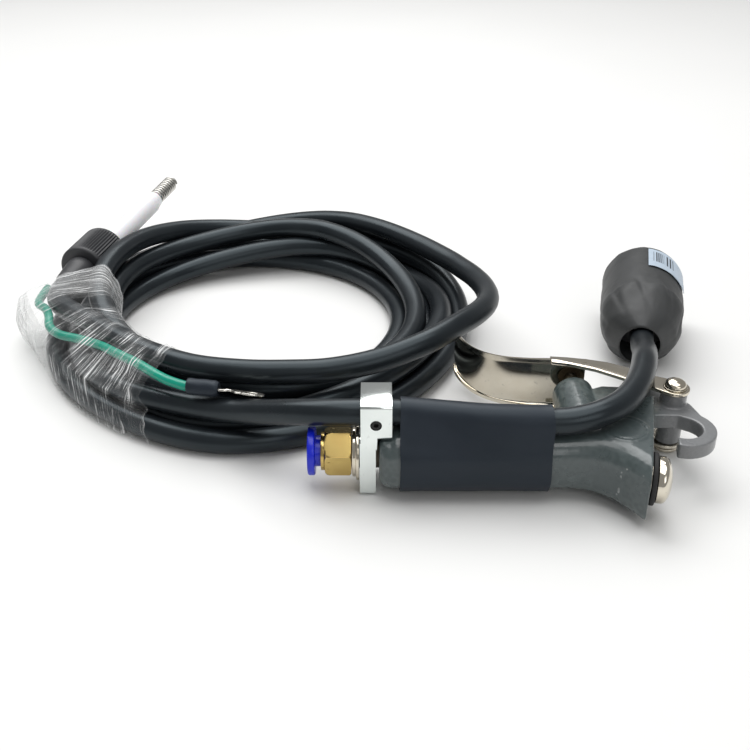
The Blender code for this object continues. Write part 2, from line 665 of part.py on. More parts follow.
def plug(black, steel, paper, white):
    """Shrink-covered plug on the short lead, with its core, contact and label."""
    core = [(0, 9.0), (15.5, 9.0), (15.5, 46.0), (0, 46.0)]
    middle = PLUG_NEAR.z
    outer = [shroud_ring(-15.5, -1.2, 27.6, 0.3, 9.8), shroud_ring(-7.0, 0.6, 32.6, 0.25, 16.2),
             shroud_ring(4.0, 4.0, 38.4, 0.15, 19.1)]
    inner = [shroud_ring(-15.5, -1.2, 26.9, 1.3, 9.1), shroud_ring(-7.0, 0.6, 31.4, 1.5, 15.0),
             shroud_ring(4.0, 4.0, 36.2, 2.6, 16.6)]
    for along, radius, bore in ((11.0, PLUG_RADIUS, 16.2), (PLUG_LENGTH - 2, PLUG_RADIUS, 16.2),
                                (PLUG_LENGTH, 18.6, 16.6)):
        outer.append(shroud_ring(along, along, middle + radius, middle - radius, radius))
        inner.append(shroud_ring(along, along, middle + bore, middle - bore, bore))
    shell("plug_shroud", outer, inner, black)
    turned("plug_core", core, PLUG_NEAR, PLUG_AXIS, white, 24)
    turned("plug_contact", [(0, 46.4), (4.0, 46.4), (4.0, 53.0), (3.2, 54.0), (0, 54.0)],
           PLUG_NEAR, PLUG_AXIS, steel, 20)
    side, up = frame_of(PLUG_AXIS)
    rings = []
    for k in range(9):
        angle = math.radians(20 + 68 * k / 8)
        spoke = side * math.cos(angle) + Vector((0, 0, 1)) * math.sin(angle)
        rings.append([PLUG_NEAR + PLUG_AXIS * along + spoke * (PLUG_RADIUS + high)
                      for along, high in ((26.0, GAP), (26.0, GAP + 0.3), (46.0, GAP + 0.3), (46.0, GAP))])
    loft("plug_label", rings, paper)


def build():
    for old in list(bpy.data.objects):
        bpy.data.objects.remove(old, do_unlink=True)
    enamel = material("enamel", (0.055, 0.07, 0.07), 0.35, 0.3)
    nickel = material("nickel", (0.75, 0.72, 0.66), 0.15, 1.0)
    chrome = material("chrome", (0.78, 0.79, 0.79), 0.2, 1.0)
    brass = material("brass", (0.70, 0.50, 0.18), 0.25, 1.0)
    blue = material("blue_plastic", (0.01, 0.03, 0.75), 0.35, 0.0)
    shrink = material("shrink_sleeve", (0.02, 0.022, 0.028), 0.6, 0.0)
    sheath = material("cable_sheath", (0.015, 0.016, 0.018), 0.45, 0.0)
    rubber = material("rubber", (0.02, 0.02, 0.02), 0.7, 0.0)
    steel = material("steel", (0.55, 0.55, 0.53), 0.3, 1.0)
    black = material("black_plastic", (0.03, 0.03, 0.033), 0.5, 0.0)
    white = material("white_plastic", (0.85, 0.85, 0.87), 0.35, 0.0)
    green = material("green_sheath", (0.0, 0.30, 0.20), 0.4, 0.0)
    clear = material("clear_film", (0.75, 0.76, 0.75), 0.15, 0.0)
    paper = material("label", (0.38, 0.45, 0.53), 0.6, 0.0)

    gun_body(enamel)
    head_plug(nickel, rubber)
    valve(steel, brass, rubber)
    pivot(nickel)
    trigger(nickel)
    base_bracket(chrome)
    clamp_screw(steel)
    inlet(nickel, brass, blue, rubber, steel)
    grip_sleeve(shrink)
    tube("held_cable", ROUTE_HELD, CABLE_RADIUS, 12.0, sheath)
    tube("short_lead", ROUTE_SHORT_LEAD, CABLE_RADIUS, 14.0, sheath)
    plug(shrink, steel, paper, white)
    tube("lead_in", ROUTE_LEAD_IN, CABLE_RADIUS, 14.0, sheath)
    tube("lead_top_turn", ROUTE_TOP_TURN, CABLE_RADIUS, 24.0, sheath)
    coil(sheath)
    connector(black, white, steel)
    earth_wire(green, black, nickel)
    film(clear)


build()
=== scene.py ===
"""Trigger gun with its supply lead, on a pale table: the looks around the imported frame.

Lengths are millimetres in the part's own layout, and place() turns them into metres.
"""

import math

import bmesh
import bpy
import numpy as np
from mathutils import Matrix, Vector, noise


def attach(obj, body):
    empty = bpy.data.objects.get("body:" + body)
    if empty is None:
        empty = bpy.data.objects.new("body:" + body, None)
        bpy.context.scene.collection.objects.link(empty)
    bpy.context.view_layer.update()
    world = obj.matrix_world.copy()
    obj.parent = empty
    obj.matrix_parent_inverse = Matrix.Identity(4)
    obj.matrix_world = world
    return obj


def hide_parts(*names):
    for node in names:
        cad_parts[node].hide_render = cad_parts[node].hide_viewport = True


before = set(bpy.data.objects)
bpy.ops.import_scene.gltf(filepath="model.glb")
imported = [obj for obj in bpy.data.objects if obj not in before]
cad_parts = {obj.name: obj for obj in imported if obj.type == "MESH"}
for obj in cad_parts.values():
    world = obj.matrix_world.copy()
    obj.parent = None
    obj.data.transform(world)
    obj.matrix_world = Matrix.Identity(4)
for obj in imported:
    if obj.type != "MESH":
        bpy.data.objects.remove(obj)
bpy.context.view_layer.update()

MM = 0.001
CENTRE_X = 52.738
CENTRE_Y = -59.24
TAU = 2 * math.pi

CABLE_RADIUS = 5.15
WIRE_RADIUS = 2.0
INLET = (-83.0, 14.5)
MID_Z = 15.5
VALVE_X = 82.0
HANDLE_MIDDLE = (-83.5, 14.9)
PIVOT = (118.8, -58.8)
PLUG_NEAR = Vector((122.3, 10.2, 19.6))
PLUG_AXIS = Vector((0.225, 0.974, 0.0)).normalized()
CONNECTOR_REAR = Vector((-147.1, 64.3, 24.0))
CONNECTOR_AXIS = Vector((0.207, 0.977, 0.040)).normalized()
HEAD_TURN = math.radians(-13.3)
HEAD_SEAT = Vector((100.23, -102.17, MID_Z))

ROUTE_HELD = [(-4.9, -83.0, 31.9), (7.0, -83.05, 31.9), (20.4, -85.2, 31.9), (38.7, -88.0, 31.9),
              (55.0, -89.2, 31.9), (66.7, -89.75, 32.0)]
ROUTE_SHORT_LEAD = [
    (66.7, -89.75, 32.0), (71.5, -89.9, 32.4), (77.0, -89.4, 33.2), (84.0, -87.2, 34.2),
    (92.7, -80.8, 35.0), (99.6, -70.7, 35.2), (104.6, -59.6, 35.0), (108.3, -48.3, 34.4),
    (111.6, -36.5, 31.2), (114.6, -24.5, 26.6), (117.2, -12.5, 22.4), (119.3, -3.5, 20.4),
    (121.2, 5.0, 19.9), (122.6, 11.5, 19.65), (124.3, 19.2, 19.6),
]
ROUTE_LEAD_IN = [
    (-4.9, -83.0, 31.9), (-12.0, -82.9, 31.8), (-20.0, -81.4, 30.9), (-30.0, -77.0, 28.2),
    (-41.0, -70.2, 23.9), (-53.0, -62.5, 19.4), (-65.0, -56.3, 16.6), (-77.0, -50.8, 15.9),
    (-92.0, -43.3, 15.9), (-104.0, -35.2, 15.9),
]
ROUTE_LAST_TURN = [
    (42.5, 62.5, 26.4), (49.6, 46.0, 27.2), (52.4, 29.0, 28.8), (51.2, 13.5, 30.8), (45.8, -1.0, 32.8),
    (36.0, -15.4, 34.1), (21.4, -30.0, 33.2), (2.0, -38.4, 29.4), (-18.0, -41.9, 26.7),
    (-36.0, -42.6, 26.1),
    (-55.0, -42.1, 26.1), (-76.0, -37.6, 26.1), (-96.0, -26.2, 26.1), (-113.0, -12.0, 26.1),
    (-129.0, 4.0, 26.0), (-143.0, 18.0, 25.2), (-149.8, 29.5, 24.4), (-151.3, 42.0, 23.8),
]
ROUTE_EARTH = [
    (-159.6, 46.0, 22.5), (-159.9, 34.0, 22.5), (-157.9, 25.6, 23.6), (-152.5, 18.0, 25.0),
    (-148.9, 10.4, 25.2), (-146.2, 1.6, 24.2), (-140.0, -5.2, 23.8), (-128.4, -12.0, 24.8),
    (-117.6, -20.3, 26.2), (-109.6, -28.0, 27.0), (-98.8, -37.4, 27.4), (-91.4, -44.0, 27.0),
    (-84.2, -50.0, 26.7), (-76.0, -54.6, 26.5),
]


def place(point):
    """A layout point in millimetres as a point in the row frame, in metres."""
    return Vector(((point[0] - CENTRE_X) * MM, (point[1] - CENTRE_Y) * MM, point[2] * MM))


def added(name, data):
    """A new object with this data, in the scene."""
    made = bpy.data.objects.new(name, data)
    bpy.context.scene.collection.objects.link(made)
    return made


# ---- Camera ---------------------------------------------------------------------------

camera_data = bpy.data.cameras.new("camera")
camera_data.sensor_width = 36.0
camera_data.lens = 36.0 * 1013.0 / 750.0
camera = added("camera", camera_data)
camera.location = place((0.0, -403.57, 233.0))
camera.rotation_euler = (math.radians(60.0), 0.0, 0.0)
bpy.context.scene.camera = camera


# ---- Materials ------------------------------------------------------------------------

class Look:
    """A Principled material and short calls that add nodes to it."""

    def __init__(self, name, colour, roughness, metallic=0.0, **sockets):
        self.made = bpy.data.materials.new(name)
        self.made.use_nodes = True
        self.tree = self.made.node_tree
        self.shader = self.tree.nodes["Principled BSDF"]
        self.shader.inputs["Base Color"].default_value = (*colour, 1.0)
        self.shader.inputs["Roughness"].default_value = roughness
        self.shader.inputs["Metallic"].default_value = metallic
        for key, value in sockets.items():
            self.shader.inputs[key.replace("_", " ")].default_value = value
        self.where = self.node("ShaderNodeTexCoord").outputs["Object"]
        self.normal = None

    def node(self, kind, **settings):
        made = self.tree.nodes.new(kind)
        for key, value in settings.items():
            setattr(made, key, value)
        return made

    def link(self, source, target):
        self.tree.links.new(source, target)

    def stretched(self, scale, source=None, turn=0.0):
        """Coordinates stretched by three factors, then turned about Z."""
        mapping = self.node("ShaderNodeMapping")
        mapping.inputs["Rotation"].default_value = (0.0, 0.0, turn)
        mapping.inputs["Scale"].default_value = scale
        self.link(source or self.where, mapping.inputs["Vector"])
        return mapping.outputs["Vector"]

    def split(self, source):
        """A vector's X, Y and Z outputs."""
        made = self.node("ShaderNodeSeparateXYZ")
        self.link(source, made.inputs["Vector"])
        return made.outputs

    def noise(self, scale, detail=3.0, rough=0.5, where=None, distortion=0.0):
        made = self.node("ShaderNodeTexNoise")
        made.inputs["Scale"].default_value = scale
        made.inputs["Detail"].default_value = detail
        made.inputs["Roughness"].default_value = rough
        made.inputs["Distortion"].default_value = distortion
        self.link(where or self.where, made.inputs["Vector"])
        return made.outputs["Fac"]

    def cells(self, scale, smooth=1.0, where=None, feature="SMOOTH_F1"):
        made = self.node("ShaderNodeTexVoronoi", feature=feature)
        made.inputs["Scale"].default_value = scale
        if feature == "SMOOTH_F1":
            made.inputs["Smoothness"].default_value = smooth
        self.link(where or self.where, made.inputs["Vector"])
        return made.outputs["Distance"]

    def ranged(self, source, low, high, to_low, to_high, smooth=False):
        made = self.node("ShaderNodeMapRange")
        if smooth:
            made.interpolation_type = "SMOOTHSTEP"
        for key, value in (("From Min", low), ("From Max", high), ("To Min", to_low), ("To Max", to_high)):
            made.inputs[key].default_value = value
        self.link(source, made.inputs["Value"])
        return made.outputs["Result"]

    def maths(self, operation, a, b):
        made = self.node("ShaderNodeMath", operation=operation)
        for socket, value in zip(made.inputs, (a, b)):
            if isinstance(value, (int, float)):
                socket.default_value = value
            else:
                self.link(value, socket)
        return made.outputs["Value"]

    def mixed(self, factor, a, b):
        """A colour between two, by a factor. Each is a colour or an output."""
        made = self.node("ShaderNodeMix", data_type="RGBA")
        self.link(factor, made.inputs["Factor"])
        for socket, value in ((made.inputs["A"], a), (made.inputs["B"], b)):
            if isinstance(value, tuple):
                socket.default_value = (*value, 1.0)
            else:
                self.link(value, socket)
        return made.outputs["Result"]

    def bump(self, height, strength, distance):
        made = self.node("ShaderNodeBump")
        made.inputs["Strength"].default_value = strength
        made.inputs["Distance"].default_value = distance * MM
        self.link(height, made.inputs["Height"])
        if self.normal:
            self.link(self.normal, made.inputs["Normal"])
        self.normal = made.outputs["Normal"]
        return self

    def done(self, colour=None, roughness=None, alpha=None):
        for key, value in (("Base Color", colour), ("Roughness", roughness), ("Alpha", alpha),
                           ("Normal", self.normal)):
            if value is not None:
                self.link(value, self.shader.inputs[key])
        return self.made


def edge_wear(look, low, high):
    """How far a point is on a worn outer edge, from 0 to 1."""
    point = look.node("ShaderNodeNewGeometry").outputs["Pointiness"]
    return look.ranged(point, low, high, 0.0, 1.0, smooth=True)


def enamel():
    look = Look("enamel", (0.07, 0.09, 0.09), 0.3, 0.0, Coat_Weight=0.45, Coat_Roughness=0.12)
    hammer = look.cells(520.0)
    fine = look.noise(1500.0, 3.0)
    drift = look.noise(38.0, 2.0)
    hook = look.ranged(look.split(look.where)["X"], 0.054, 0.064, 0.0, 1.0, smooth=True)
    dark = look.mixed(look.ranged(hammer, 0.25, 0.6, 0.0, 1.0), (0.045, 0.062, 0.062),
                      (0.082, 0.105, 0.104))
    shade = look.mixed(look.ranged(drift, 0.35, 0.65, 0.0, 1.0), dark, (0.060, 0.078, 0.080))
    grey = look.mixed(fine, (0.15, 0.155, 0.16), (0.21, 0.215, 0.22))
    body = look.mixed(hook, shade, grey)
    worn = look.maths("MULTIPLY", edge_wear(look, 0.56, 0.66),
                      look.ranged(look.noise(320.0), 0.5, 0.62, 0.0, 0.75))
    colour = look.mixed(worn, body, (0.33, 0.34, 0.34))
    look.bump(hammer, 0.45, 0.22).bump(look.noise(150.0, 2.0), 0.5, 0.35).bump(fine, 0.2, 0.03)
    return look.done(colour, look.ranged(look.noise(90.0, 4.0), 0.3, 0.7, 0.22, 0.42))


def metal(name, colour, deep, low, high, grain=(1.0, 1.0, 1.0), scale=900.0, mark=0.12, wave=0.0):
    """Plated or turned metal: grain, soft smudges and small marks."""
    look = Look(name, colour, low, 1.0)
    lines = look.noise(scale, 4.0, 0.6, look.stretched(grain))
    smudge = look.noise(70.0, 4.0, 0.6)
    spots = look.ranged(look.noise(480.0, 3.0), 0.66, 0.74, 0.0, 1.0)
    tint = look.mixed(look.ranged(smudge, 0.35, 0.7, 0.0, 1.0), colour, deep)
    tint = look.mixed(look.maths("MULTIPLY", spots, 0.5), tint, tuple(0.45 * c for c in colour))
    if wave:
        look.bump(look.noise(95.0, 1.0), wave, 0.5)
    look.bump(lines, mark, 0.02)
    rough = look.maths("ADD", look.ranged(smudge, 0.3, 0.75, low, high),
                       look.maths("MULTIPLY", spots, 0.12))
    return look.done(tint, rough)


def polymer(name, colour, other, low, high, grain=2200.0, depth=0.02, strength=0.35, spots=None, **sockets):
    """Rubber or plastic: a fine grain, slow colour drift and light scuffs."""
    look = Look(name, colour, low, 0.0, **sockets)
    drift = look.noise(45.0, 3.0)
    fine = look.noise(grain, 3.0, 0.6)
    tint = look.mixed(look.ranged(drift, 0.35, 0.68, 0.0, 1.0), colour, other)
    if spots:
        dust = look.ranged(look.noise(700.0, 5.0, 0.7), 0.68, 0.76, 0.0, 0.6)
        tint = look.mixed(dust, tint, spots)
    look.bump(look.noise(110.0, 2.0), 0.25, 0.25).bump(fine, strength, depth)
    return look.done(tint, look.ranged(drift, 0.3, 0.7, low, high))


def clear_film():
    """Clear stretch film: faint where it is smooth, white along its many fine creases."""
    look = Look("clear_film", (0.86, 0.87, 0.87), 0.22, 0.0, IOR=1.45)
    uv = look.node("ShaderNodeTexCoord").outputs["UV"]
    across = look.noise(1.0, 6.0, 0.65, look.stretched((180.0, 4.0, 1.0), uv), 0.6)
    slanted = look.noise(1.0, 5.0, 0.6, look.stretched((90.0, 4.0, 1.0), uv, 0.42), 0.4)
    patch = look.noise(2.6, 2.0, 0.5, look.stretched((3.0, 2.2, 1.0), uv))
    gathered = look.ranged(look.split(uv)["X"], 0.30, 0.12, 0.0, 1.0, smooth=True)
    hair = look.noise(1.0, 3.0, 0.6, look.stretched((420.0, 4.0, 1.0), uv), 0.3)
    crease = look.ranged(across, 0.575, 0.62, 0.0, 1.0, smooth=True)
    crossing = look.ranged(slanted, 0.60, 0.64, 0.0, 0.9, smooth=True)
    lines = look.maths("MAXIMUM", look.maths("MAXIMUM", crease, crossing),
                       look.ranged(hair, 0.58, 0.64, 0.0, 0.7))
    dense = look.maths("MAXIMUM", look.ranged(patch, 0.38, 0.60, 0.12, 1.0, smooth=True), gathered)
    veil = look.maths("ADD", look.ranged(patch, 0.38, 0.66, 0.02, 0.10),
                      look.maths("MULTIPLY", gathered, 0.16))
    alpha = look.maths("ADD", veil, look.maths("MULTIPLY", look.maths("MULTIPLY", lines, dense), 0.92))
    look.bump(across, 0.6, 0.6).bump(slanted, 0.5, 0.6)
    return look.done(None, look.ranged(across, 0.3, 0.7, 0.12, 0.35), alpha)


def printed_label():
    """Pale blue paper with generic bars."""
    look = Look("label", (0.46, 0.55, 0.64), 0.5)
    uv = look.node("ShaderNodeTexCoord").outputs["UV"]
    parts = look.split(uv)
    bars = look.node("ShaderNodeTexNoise", noise_dimensions="1D")
    bars.inputs["Scale"].default_value = 26.0
    bars.inputs["Detail"].default_value = 0.0
    look.link(parts["X"], bars.inputs["W"])
    ink = look.ranged(bars.outputs["Fac"], 0.52, 0.55, 0.0, 1.0)
    for socket, low, high in ((parts["X"], 0.42, 0.92), (parts["Y"], 0.30, 0.86)):
        ink = look.maths("MULTIPLY", ink, look.maths("GREATER_THAN", socket, low))
        ink = look.maths("MULTIPLY", ink, look.maths("LESS_THAN", socket, high))
    paper = look.mixed(look.noise(500.0, 4.0), (0.40, 0.49, 0.58), (0.52, 0.60, 0.69))
    look.bump(look.noise(1800.0, 2.0), 0.3, 0.02)
    return look.done(look.mixed(ink, paper, (0.03, 0.035, 0.045)), look.ranged(ink, 0.0, 1.0, 0.42, 0.55))


def table_top():
    look = Look("table_top", (0.76, 0.76, 0.75), 0.55)
    drift = look.noise(2.2, 3.0)
    look.bump(look.noise(420.0, 3.0), 0.12, 0.05)
    return look.done(look.mixed(drift, (0.77, 0.77, 0.76), (0.81, 0.81, 0.80)),
                     look.ranged(drift, 0.3, 0.7, 0.5, 0.62))


ENAMEL = enamel()
NICKEL = metal("nickel", (0.74, 0.69, 0.59), (0.64, 0.58, 0.47), 0.07, 0.17, (1.0, 1.0, 0.25), 700.0, 0.08,
               0.10)
CHROME = metal("chrome", (0.84, 0.88, 0.86), (0.77, 0.82, 0.80), 0.09, 0.15, (1.0, 0.2, 1.0), 1400.0, 0.12)
BRASS = metal("brass", (0.62, 0.46, 0.17), (0.50, 0.35, 0.12), 0.16, 0.30, (6.0, 1.0, 1.0), 600.0, 0.35)
# Brass darkened with painted shade. On the nipple it stands for the shaded gap behind the handle end, and
# the gland under the trigger wears it too.
SHADED_DULL_BRASS = metal("shaded_dull_brass", (0.13, 0.11, 0.085), (0.08, 0.07, 0.055), 0.42, 0.58, (6.0, 1.0, 1.0),
                   600.0, 0.35)
STEEL = metal("steel", (0.62, 0.61, 0.58), (0.50, 0.49, 0.46), 0.20, 0.34, (1.0, 1.0, 1.0), 1200.0, 0.2)
TINNED = metal("tinned", (0.80, 0.78, 0.73), (0.68, 0.66, 0.60), 0.20, 0.36, (1.0, 1.0, 1.0), 800.0, 0.3,
               0.2)
BLUE = polymer("blue_plastic", (0.006, 0.018, 0.56), (0.004, 0.012, 0.42), 0.26, 0.36, 1600.0, 0.01, 0.2)
SLEEVE = polymer("shrink_sleeve", (0.010, 0.0135, 0.020), (0.014, 0.018, 0.026), 0.38, 0.50, 1500.0, 0.03,
                 0.3, (0.04, 0.045, 0.055), Specular_IOR_Level=0.34, Specular_Tint=(0.80, 0.92, 1.0, 1.0))
SHROUD = polymer("shroud_sleeve", (0.034, 0.036, 0.037), (0.046, 0.048, 0.049), 0.44, 0.58, 900.0, 0.05,
                 0.4, (0.22, 0.22, 0.22), Specular_IOR_Level=0.4)
SHEATH = polymer("cable_sheath", (0.0085, 0.0105, 0.013), (0.013, 0.0155, 0.018), 0.27, 0.38, 2600.0,
                 0.012, 0.3,
                 (0.05, 0.052, 0.055), Specular_IOR_Level=0.42, Specular_Tint=(0.78, 0.93, 1.0, 1.0))
RUBBER = polymer("rubber", (0.012, 0.012, 0.012), (0.02, 0.02, 0.02), 0.6, 0.75, 2600.0, 0.03, 0.4)
# Black plastic for the boot and the nut. On the plug insert the same black is painted shade, the dark
# inside of the cover's mouth.
BLACK_PLASTIC_AND_SHADE = polymer("black_plastic", (0.030, 0.031, 0.034), (0.042, 0.043, 0.047), 0.42, 0.55, 2600.0, 0.02,
                0.4, (0.09, 0.09, 0.09))
WHITE = polymer("white_plastic", (0.90, 0.90, 0.91), (0.84, 0.84, 0.86), 0.22, 0.36, 1500.0, 0.01, 0.2,
                (0.55, 0.54, 0.52), Subsurface_Weight=0.15, Subsurface_Scale=0.002)
GREEN = polymer("green_sheath", (0.0, 0.30, 0.20), (0.0, 0.24, 0.165), 0.24, 0.34, 2000.0, 0.01, 0.2)
FILM = clear_film()
LABEL = printed_label()


# ---- Mesh helpers ---------------------------------------------------------------------

def keep(made, body, nodes, slot):
    """The piece rides on a body and stands for its nodes. The slot is not used."""
    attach(made, body)
    if nodes:
        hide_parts(*nodes)
    return made


def mesh_of(name, bm, look, body, nodes, slot, smooth=True, sharp=40.0):
    """A bmesh in layout millimetres as a finished piece."""
    bmesh.ops.recalc_face_normals(bm, faces=bm.faces)
    for vert in bm.verts:
        vert.co = place(vert.co)
    mesh = bpy.data.meshes.new(name)
    bm.to_mesh(mesh)
    bm.free()
    if smooth:
        mesh.shade_smooth()
        mesh.set_sharp_from_angle(angle=math.radians(sharp))
    mesh.materials.append(look)
    made = added(name, mesh)
    return keep(made, body, nodes, slot) if body else made


def skin(bm, rows, close_ring=True, close_rows=False):
    """Quads between rows of vertices."""
    count = len(rows[0])
    pairs = list(zip(rows, rows[1:])) + ([(rows[-1], rows[0])] if close_rows else [])
    for near, far in pairs:
        for k in range(count if close_ring else count - 1):
            bm.faces.new((near[k], near[(k + 1) % count], far[(k + 1) % count], far[k]))


def loft_mesh(rings, caps=True, close_rows=False):
    bm = bmesh.new()
    rows = [[bm.verts.new(p) for p in ring] for ring in rings]
    skin(bm, rows, True, close_rows)
    if caps and not close_rows:
        bm.faces.new(rows[0])
        bm.faces.new(rows[-1])
    return bm


def frame_of(axis):
    """Two unit vectors square to an axis."""
    axis = Vector(axis).normalized()
    side = axis.cross(Vector((0, 0, 1)))
    if side.length < 0.1:
        side = axis.cross(Vector((1, 0, 0)))
    side.normalize()
    return side, axis.cross(side).normalized()


def softened(profile, radius, closed=False, steps=3):
    """A profile whose corners are small arcs."""
    count, result = len(profile), []
    for i, corner in enumerate(profile):
        if not closed and i in (0, count - 1):
            result.append(corner)
            continue
        here = Vector(corner)
        before, after = Vector(profile[i - 1]) - here, Vector(profile[(i + 1) % count]) - here
        cut = min(radius, 0.45 * before.length, 0.45 * after.length)
        a, b = here + before.normalized() * cut, here + after.normalized() * cut
        for k in range(steps + 1):
            t = k / steps
            p = a * (1 - t) ** 2 + here * 2 * t * (1 - t) + b * t * t
            result.append((p.x, p.y))
    return result


def dense(profile, spacing):
    """A profile with extra points, at most spacing apart."""
    result = []
    for (r0, a0), (r1, a1) in zip(profile, profile[1:]):
        steps = max(1, math.ceil(math.hypot(r1 - r0, a1 - a0) / spacing))
        result += [(r0 + (r1 - r0) * k / steps, a0 + (a1 - a0) * k / steps) for k in range(steps)]
    return result + [profile[-1]]


def turned(name, profile, base, axis, look, body, nodes, slot, sides=64, closed=False, shape=None,
           spin=0.0):
    """A turned piece. The profile is (radius, distance along the axis), and shape changes the radius."""
    base, axis = Vector(base), Vector(axis).normalized()
    side, up = frame_of(axis)
    bm = bmesh.new()
    columns = []
    poles = {i: bm.verts.new(base + axis * a) for i, (r, a) in enumerate(profile) if r == 0}
    for k in range(sides):
        angle = spin + TAU * k / sides
        spoke = side * math.cos(angle) + up * math.sin(angle)
        column = []
        for i, (r, a) in enumerate(profile):
            if i in poles:
                column.append(poles[i])
                continue
            radius = shape(angle, r, a) if shape else r
            column.append(bm.verts.new(base + axis * a + spoke * radius))
        columns.append(column)
    count = len(profile)
    for k in range(sides):
        here, there = columns[k], columns[(k + 1) % sides]
        for i in range(count if closed else count - 1):
            j = (i + 1) % count
            corners = [here[i], here[j], there[j], there[i]]
            unique = [v for n, v in enumerate(corners) if v not in corners[:n]]
            if len(unique) > 2:
                bm.faces.new(unique)
    return mesh_of(name, bm, look, body, nodes, slot)


def catmull(a, b, c, d, t):
    """The point at t between b and c, on a smooth curve through four neighbours."""
    return 0.5 * (2 * b + (c - a) * t + (2 * a - 5 * b + 4 * c - d) * t * t
                  + (3 * b - a - 3 * c + d) * t ** 3)


def smooth_route(route, spacing):
    """Evenly spaced points on a Catmull-Rom curve through a route's points."""
    points = [Vector(p) for p in route]
    points = [2 * points[0] - points[1]] + points + [2 * points[-1] - points[-2]]
    fine = []
    for a, b, c, d in zip(points, points[1:], points[2:], points[3:]):
        fine += [catmull(a, b, c, d, k / 16) for k in range(16)]
    fine.append(points[-2])
    along = [0.0]
    for a, b in zip(fine, fine[1:]):
        along.append(along[-1] + (b - a).length)
    count = max(2, round(along[-1] / spacing))
    result, at = [], 0
    for k in range(count + 1):
        want = along[-1] * k / count
        while at < len(fine) - 2 and along[at + 1] < want:
            at += 1
        part = (want - along[at]) / max(along[at + 1] - along[at], 1e-9)
        result.append(fine[at].lerp(fine[at + 1], min(1.0, part)))
    return result


def tube(name, points, radius, look, body, nodes, slot, resolution=6):
    """A cable: a round curve along a list of points."""
    curve = bpy.data.curves.new(name, "CURVE")
    curve.dimensions = "3D"
    curve.bevel_depth = radius * MM
    curve.bevel_resolution = resolution
    curve.use_fill_caps = True
    spline = curve.splines.new("POLY")
    spline.points.add(len(points) - 1)
    for target, point in zip(spline.points, points):
        target.co = (*place(point), 1.0)
    spline.use_smooth = True
    curve.materials.append(look)
    return keep(added(name, curve), body, nodes, slot)


def arc(centre, radius, start, stop, steps):
    """Points on an arc, in degrees."""
    angles = [math.radians(start + (stop - start) * k / steps) for k in range(steps + 1)]
    return [(centre[0] + radius * math.cos(a), centre[1] + radius * math.sin(a)) for a in angles]


def wobble(x, y, z, scale=1.0):
    """Smooth noise, about -1 to 1."""
    return noise.noise(Vector((x * scale, y * scale, z * scale)))


def built(target, cuts, joins=(), bevel=0.0, remesh=0.0, smoothing=0):
    """The target with other bodies added and cut away, as a plain mesh."""
    for operation, others in (("UNION", joins), ("DIFFERENCE", cuts)):
        for other in others:
            modifier = target.modifiers.new(operation, "BOOLEAN")
            modifier.operation = operation
            modifier.solver = "EXACT"
            modifier.object = other
    if bevel:
        edge = target.modifiers.new("Bevel", "BEVEL")
        edge.width = bevel * MM
        edge.segments = 3
        edge.limit_method = "ANGLE"
        edge.angle_limit = math.radians(40)
        edge.harden_normals = False
    if remesh:
        voxels = target.modifiers.new("Remesh", "REMESH")
        voxels.mode = "VOXEL"
        voxels.voxel_size = remesh * MM
        voxels.use_smooth_shade = True
        relax = target.modifiers.new("Smooth", "SMOOTH")
        relax.factor = 0.5
        relax.iterations = smoothing
    graph = bpy.context.evaluated_depsgraph_get()
    mesh = bpy.data.meshes.new_from_object(target.evaluated_get(graph))
    mesh.name = target.name
    target.modifiers.clear()
    old, target.data = target.data, mesh
    bpy.data.meshes.remove(old)
    for other in list(joins) + list(cuts):
        bpy.data.objects.remove(other, do_unlink=True)
    return target


def refinished(piece, look, sharp=None):
    """The piece in one look after its booleans, smooth up to a sharp angle in degrees."""
    piece.data.materials.clear()
    piece.data.materials.append(look)
    piece.data.shade_smooth()
    if sharp:
        piece.data.set_sharp_from_angle(angle=math.radians(sharp))
    return piece


def prism(name, outline, low, high, look=None):
    return mesh_of(name, loft_mesh([[(x, y, z) for x, y in outline] for z in (low, high)]),
                   look or ENAMEL, None, (), "", smooth=False)


def bar(name, radius, base, axis, length, sides=48):
    return turned(name, [(0, 0), (radius, 0), (radius, length), (0, length)], base, axis, ENAMEL, None, (),
                  "", sides)


# ---- Main lead ------------------------------------------------------------------------

# The turns of the coil, each from its left side over the back and the right side to the front.
# Each has points of its own, because the turns change places on their way round.
FIRST_TURN = [
    (-118.0, -23.0, 12.5), (-133.0, 4.0, 7.0), (-142.0, 45.0, 5.3), (-140.0, 70.0, 5.3),
    (-129.0, 98.0, 5.3), (-111.0, 120.0, 5.3), (-85.0, 136.0, 5.3), (-56.0, 142.0, 6.5),
    (-28.0, 134.0, 9.5), (-0.9, 115.6, 12.5), (12.6, 101.8, 13.0), (25.2, 80.1, 14.0), (30.7, 53.8, 15.0),
    (31.2, 31.6, 15.0), (26.2, 11.0, 15.0), (14.0, -12.0, 15.0), (-6.0, -33.0, 14.8),
    (-30.0, -46.0, 14.5), (-57.0, -52.0, 14.3), (-85.0, -44.0, 9.5), (-112.0, -20.0, 6.0),
    (-127.0, 10.0, 5.3),
]
SECOND_TURN = [
    (-132.0, 45.0, 5.3), (-132.0, 64.0, 5.4), (-126.0, 84.0, 5.8), (-108.9, 97.7, 6.8),
    (-82.8, 105.4, 8.0), (-56.2, 113.3, 12.0), (-38.1, 117.9, 13.0), (-15.0, 116.0, 9.0),
    (8.0, 98.0, 5.5), (23.0, 72.0, 5.3), (28.0, 45.0, 5.3), (22.0, 10.0, 5.3), (8.0, -15.0, 5.3),
    (-12.0, -34.0, 5.3), (-35.0, -46.0, 5.3), (-57.0, -49.5, 5.3), (-85.0, -42.0, 6.5),
    (-112.0, -22.0, 9.5), (-130.0, 7.0, 12.5),
]
